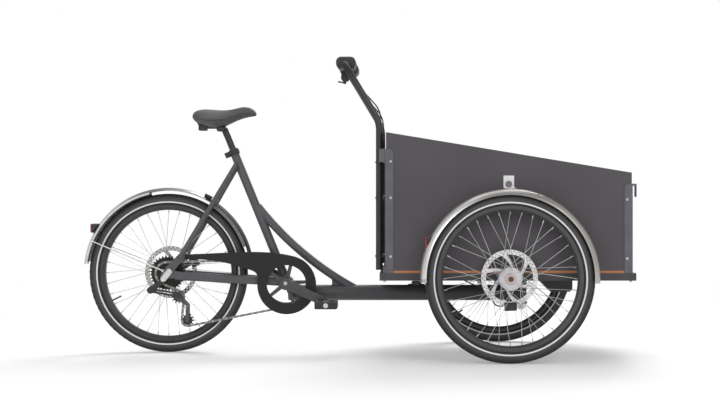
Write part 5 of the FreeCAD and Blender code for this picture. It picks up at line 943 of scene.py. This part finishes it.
wheels = {"rear": (rear_axle, rear_tyre_rubber, "rear_wheel"),
          "front_left": (left_axle, front_tyre_rubber, "front_wheel_left"),
          "front_right": (right_axle, front_tyre_rubber, "front_wheel_right")}
section_z = tyre_radius - tyre_half_width
for wheel, (axle, rubber, body) in wheels.items():
    tread = start_edit(f"{wheel}_tread")
    for side in (-1, 1):
        out = tyre_half_width * math.sin(tread_tilt)
        up = section_z + tyre_half_width * math.cos(tread_tilt)
        centre = (axle.x, axle.y + side * out, axle.z + up)
        add_block(centre, tread_size, (-side * tread_tilt, 0, side * tread_slant), tread_bevel)
    spin_copies(tread_count, tuple(axle))
    end_edit(tread)
    dress(tread, rubber, body)
print("tread blocks", tread_count * 2, "on each tyre")

# %% [markdown]
# A nipple is the small long nut at a spoke's outer end that pulls it tight. One is a short bevelled
# cylinder below the rim's bed, and a spin copies it to every spoke.

# %% Nipples
rim_low, rim_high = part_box("rear_rim")
rim_bed = 0.0215
rim_inner = (rim_high.z - rim_low.z) / 2 - rim_bed
nipple_count = 36
nipple_radius = 0.0021
nipple_length = 0.011
nipple_sides = 8
nipple_bevel = 0.0004
for wheel, (axle, rubber, body) in wheels.items():
    nipples = start_edit(f"{wheel}_nipples")
    add_round((axle.x, axle.y, axle.z + rim_inner - nipple_length / 2), nipple_radius, nipple_length, (0, 0, 0),
              nipple_sides, nipple_bevel)
    spin_copies(nipple_count, tuple(axle))
    end_edit(nipples)
    dress(nipples, satin_steel, body)
print("nipples on", len(wheels), "wheels")

# %% [markdown]
# The chain runs over teeth that turn, and its slack run hangs between the chainring and a sprung
# cage. The real one moves link by link. Here its links stay where they are, but when the cage swings
# the stretch round the cage's two wheels goes with it. So a copy of the imported chain is split, link by
# link, into four stretches: one that rides on the frame, one on the cage and two free runs that stay
# where they are.

# %% Chain stretches
def loose_parts(piece):
    """The loose parts of a mesh, each as a list of its points' numbers."""
    leader = list(range(len(piece.data.vertices)))

    def lead(index):
        while leader[index] != index:
            leader[index] = leader[leader[index]]
            index = leader[index]
        return index

    for edge in piece.data.edges:
        first, second = edge.vertices
        leader[lead(first)] = lead(second)
    groups = {}
    for index in range(len(leader)):
        groups.setdefault(lead(index), []).append(index)
    return list(groups.values())


def keep_links(piece, wanted):
    """Deletes each loose part whose middle isn't wanted."""
    only_select(piece)
    bpy.ops.object.mode_set(mode="EDIT")
    bpy.ops.mesh.select_mode(type="VERT")
    bpy.ops.mesh.select_all(action="DESELECT")
    bpy.ops.object.mode_set(mode="OBJECT")
    points = piece.data.vertices
    for group in loose_parts(piece):
        middle = sum((points[index].co for index in group), Vector()) / len(group)
        for index in group:
            points[index].select = not wanted(middle)
    bpy.ops.object.mode_set(mode="EDIT")
    bpy.ops.mesh.delete(type="VERT")
    bpy.ops.object.mode_set(mode="OBJECT")
    return piece


def alternate_links(piece):
    """Gives every second link the piece's second material."""
    second = set()
    for number, group in enumerate(sorted(loose_parts(piece), key=min)):
        if number % 2:
            second.update(group)
    for face in piece.data.polygons:
        face.material_index = int(face.vertices[0] in second)


cage_pivot = joint_place["derailleur_tension"]
cage_front = cage_pivot.x + 0.058
cage_top = cage_pivot.z + 0.013
tail_top = cage_top + 0.024


def chain_stretch(middle):
    """The stretch that a link belongs to."""
    if middle.x > cage_front:
        return "chain_slack" if middle.z < cage_top else "chain_drive"
    if middle.z < cage_top:
        return "chain_cage"
    return "chain_tail" if middle.z < tail_top else "chain_drive"


for name in ("chain_drive", "chain_slack", "chain_cage", "chain_tail"):
    stretch = copy_of("chain", name)
    stretch.data.materials.clear()
    stretch.data.materials.append(chain_steel)
    stretch.data.materials.append(chain_dark)
    alternate_links(stretch)
    keep_links(stretch, lambda middle: chain_stretch(middle) == name)
    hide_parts("chain")
    print(name, len(stretch.data.polygons), "faces")
    if name == "chain_drive":
        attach(stretch, "frame")
    elif name == "chain_cage":
        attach(stretch, "derailleur_cage")
    elif name == "chain_slack":
        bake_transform(stretch)
    else:
        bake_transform(stretch)

# %% [markdown]
# Each front mudguard carries a small marker lamp on its rear slope: a dark wedge-shaped case with an
# upright red lens. The case starts as a box that is bevelled, and a round cutter as large as the
# mudguard takes away its underside, so that it sits on the slope.

# %% Marker lamps on the front mudguards
guard_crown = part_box("front_mudguards")[1].z - left_axle.z
marker_rear = left_axle.x - 0.3006
marker_low = left_axle.z + 0.11
marker_height = 0.041
marker_length = 0.04
marker_width = 0.03
lens_thickness = 0.004
marker_seat = 0.001
marker_case_finish = grain_finish("marker_case_finish", (0.03, 0.03, 0.032), (0.04, 0.04, 0.042), 0.4, 20, 900,
                                  0.00002)
marker_lens_finish = grain_finish("marker_lens_finish", (0.42, 0.012, 0.012), (0.3, 0.006, 0.006), 0.2, 60, 500,
                                  0.00006, Coat_Weight=0.6, Coat_Roughness=0.08)
for side, axle in (("left", left_axle), ("right", right_axle)):
    middle_z = marker_low + marker_height / 2
    case = start_edit(f"marker_case_{side}")
    add_block((marker_rear + lens_thickness + marker_length / 2, axle.y, middle_z),
              (marker_length, marker_width, marker_height), (0, 0, 0), 0.003)
    end_edit(case)
    bpy.ops.object.select_all(action="DESELECT")
    bpy.ops.mesh.primitive_cylinder_add(vertices=256, radius=guard_crown - marker_seat, depth=0.2,
                                        location=tuple(axle), rotation=(math.pi / 2, 0, 0))
    cutter = bpy.context.object
    apply_modifier(case, "BOOLEAN", operation="DIFFERENCE", object=cutter, solver="EXACT")
    bpy.data.objects.remove(cutter)
    dress(case, marker_case_finish, "front")
    lens = start_edit(f"marker_lens_{side}")
    add_block((marker_rear + lens_thickness / 2, axle.y, middle_z),
              (lens_thickness, marker_width - 0.002, marker_height - 0.002), (0, 0, 0), 0.0015)
    end_edit(lens)
    dress(lens, marker_lens_finish, "front")
    print("marker lamp", side, len(case.data.polygons), "faces")

# %% [markdown]
# Under the saddle, the post ends in a clamp that grips two steel wires. The wires run close under the
# base, from a rubber block below the tail to the nose, where they come together inside the cover.
# The wires are tubes along curves, and the clamp, the post's head and the block are one small mesh.

# %% Wires and clamp under the saddle
post_low, post_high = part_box("seat_post")
post_lean = math.radians(21.1)
post_radius = 0.0127
wire_radius = 0.0035
clamp_size = (0.034, 0.058, 0.019)
tail_block_size = (0.03, 0.05, 0.022)
clamp_x = post_low.x - 0.005
clamp_z = post_high.z + 0.0176
wire_route = ((-0.092, 0.022, 0.034), (-0.084, 0.022, 0.014), (-0.066, 0.022, 0.008), (-0.03, 0.022, 0.007),
              (0, 0.022, 0.009), (0.016, 0.02, 0.02), (0.027, 0.017, 0.034), (0.05, 0.012, 0.046),
              (0.085, 0.007, 0.054), (0.1, 0.006, 0.06))
for side, label in ((-1, "right"), (1, "left")):
    points = [(clamp_x + run, side * spread, clamp_z + rise) for run, spread, rise in wire_route]
    saddle_wire = tube_along(f"saddle_wire_{label}", points, wire_radius, False)
    dress(saddle_wire, black_coat, "seat")
    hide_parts("saddle_rails")
saddle_clamp = start_edit("saddle_clamp")
add_round((clamp_x + 0.015, 0, clamp_z - 0.01), post_radius, 0.026, (0, -post_lean, 0), 48, 0.001)
add_block((clamp_x, 0, clamp_z + 0.0025), clamp_size, (0, 0, 0), 0.004)
add_block((clamp_x - 0.071, 0, clamp_z + 0.007), tail_block_size, (0, 0, 0), 0.0025)
end_edit(saddle_clamp)
dress(saddle_clamp, black_coat, "seat")
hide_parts("saddle_rails")
print("saddle clamp", len(saddle_clamp.data.polygons), "faces")

# %% [markdown]
# A bright forged link carries the derailleur below the axle. It is a bevelled strap, turned to run
# from the hanger's bolt to the derailleur's own pivot, with a dished bolt head at its upper end.

# %% Derailleur link
link_alloy = grain_finish("link_alloy", (0.62, 0.615, 0.61), (0.78, 0.775, 0.77), 0.3, 30, 1500, 0.00002,
                          metallic=0.7)
link_turn = math.radians(-52)
link_size = (0.05, 0.0085, 0.023)
link_y = -0.0772
derailleur_link = start_edit("derailleur_link")
add_block((rear_axle.x + 0.004, link_y, rear_axle.z - 0.004), link_size, (0, link_turn, 0), 0.0035)
add_round((rear_axle.x + 0.016, link_y - 0.004, rear_axle.z + 0.011), 0.0075, 0.006, (math.pi / 2, 0, 0), 24, 0.001)
add_round((rear_axle.x - 0.009, link_y - 0.004, rear_axle.z - 0.021), 0.009, 0.005, (math.pi / 2, 0, 0), 24, 0.0015)
end_edit(derailleur_link)
dress(derailleur_link, link_alloy, "frame")
print("derailleur link", len(derailleur_link.data.polygons), "faces")

# %% [markdown]
# A rolled lip stiffens each edge of the rear mudguard and comes down close to the tyre. The lips in
# front are drawn darker and the roll behind lighter, like the sheet: painted shade and painted light.
# Behind, a black bead below the roll is painted shade, where the gap under the sheet lies in shade.
# Each roll and bead is a tube along an arc round the axle.

# %% Lips of the rear mudguard
rear_guard_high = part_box("rear_mudguard")[1]
lip_step = 3
lip_y = rear_guard_high.y - 0.002
lip_shaded = grain_finish("lip_shaded", (0.16, 0.157, 0.152), (0.21, 0.206, 0.2), 0.4, 30, 1500, 0.00001)
lip_lit = grain_finish("lip_lit", (0.6, 0.59, 0.59), (0.7, 0.69, 0.69), 0.4, 30, 1500, 0.00001)
lip_shade = grain_finish("lip_shade", (0.02, 0.02, 0.02), (0.03, 0.03, 0.03), 0.5, 30, 1500, 0.00001)
# lip colours: darker in front and lighter behind, as painted shade and light; the black rear bead is painted shade
lips = (("front_roll", 19, 55, 0.3115, 0.0032, lip_shaded), ("front_bead", 19, 55, 0.3055, 0.0032, lip_shaded),
        ("rear_roll", 103, 172, 0.3108, 0.004, lip_lit), ("rear_shade_bead", 103, 172, 0.3048, 0.0024, lip_shade))
for label, first, last, arc, radius, finish in lips:
    for side, hand in ((-1, "right"), (1, "left")):
        turns = [math.radians(degrees) for degrees in range(first, last + 1, lip_step)]
        points = [(rear_axle.x + arc * math.cos(turn), side * lip_y, rear_axle.z + arc * math.sin(turn))
                  for turn in turns]
        lip = tube_along(f"rear_guard_{label}_{hand}", points, radius, False)
        dress(lip, finish, "frame")
    print("lips", label, len(lip.data.polygons), "faces each")

# %% [markdown]
# The last line brings every piece's place up to date.

# %% The end
bpy.context.view_layer.update()
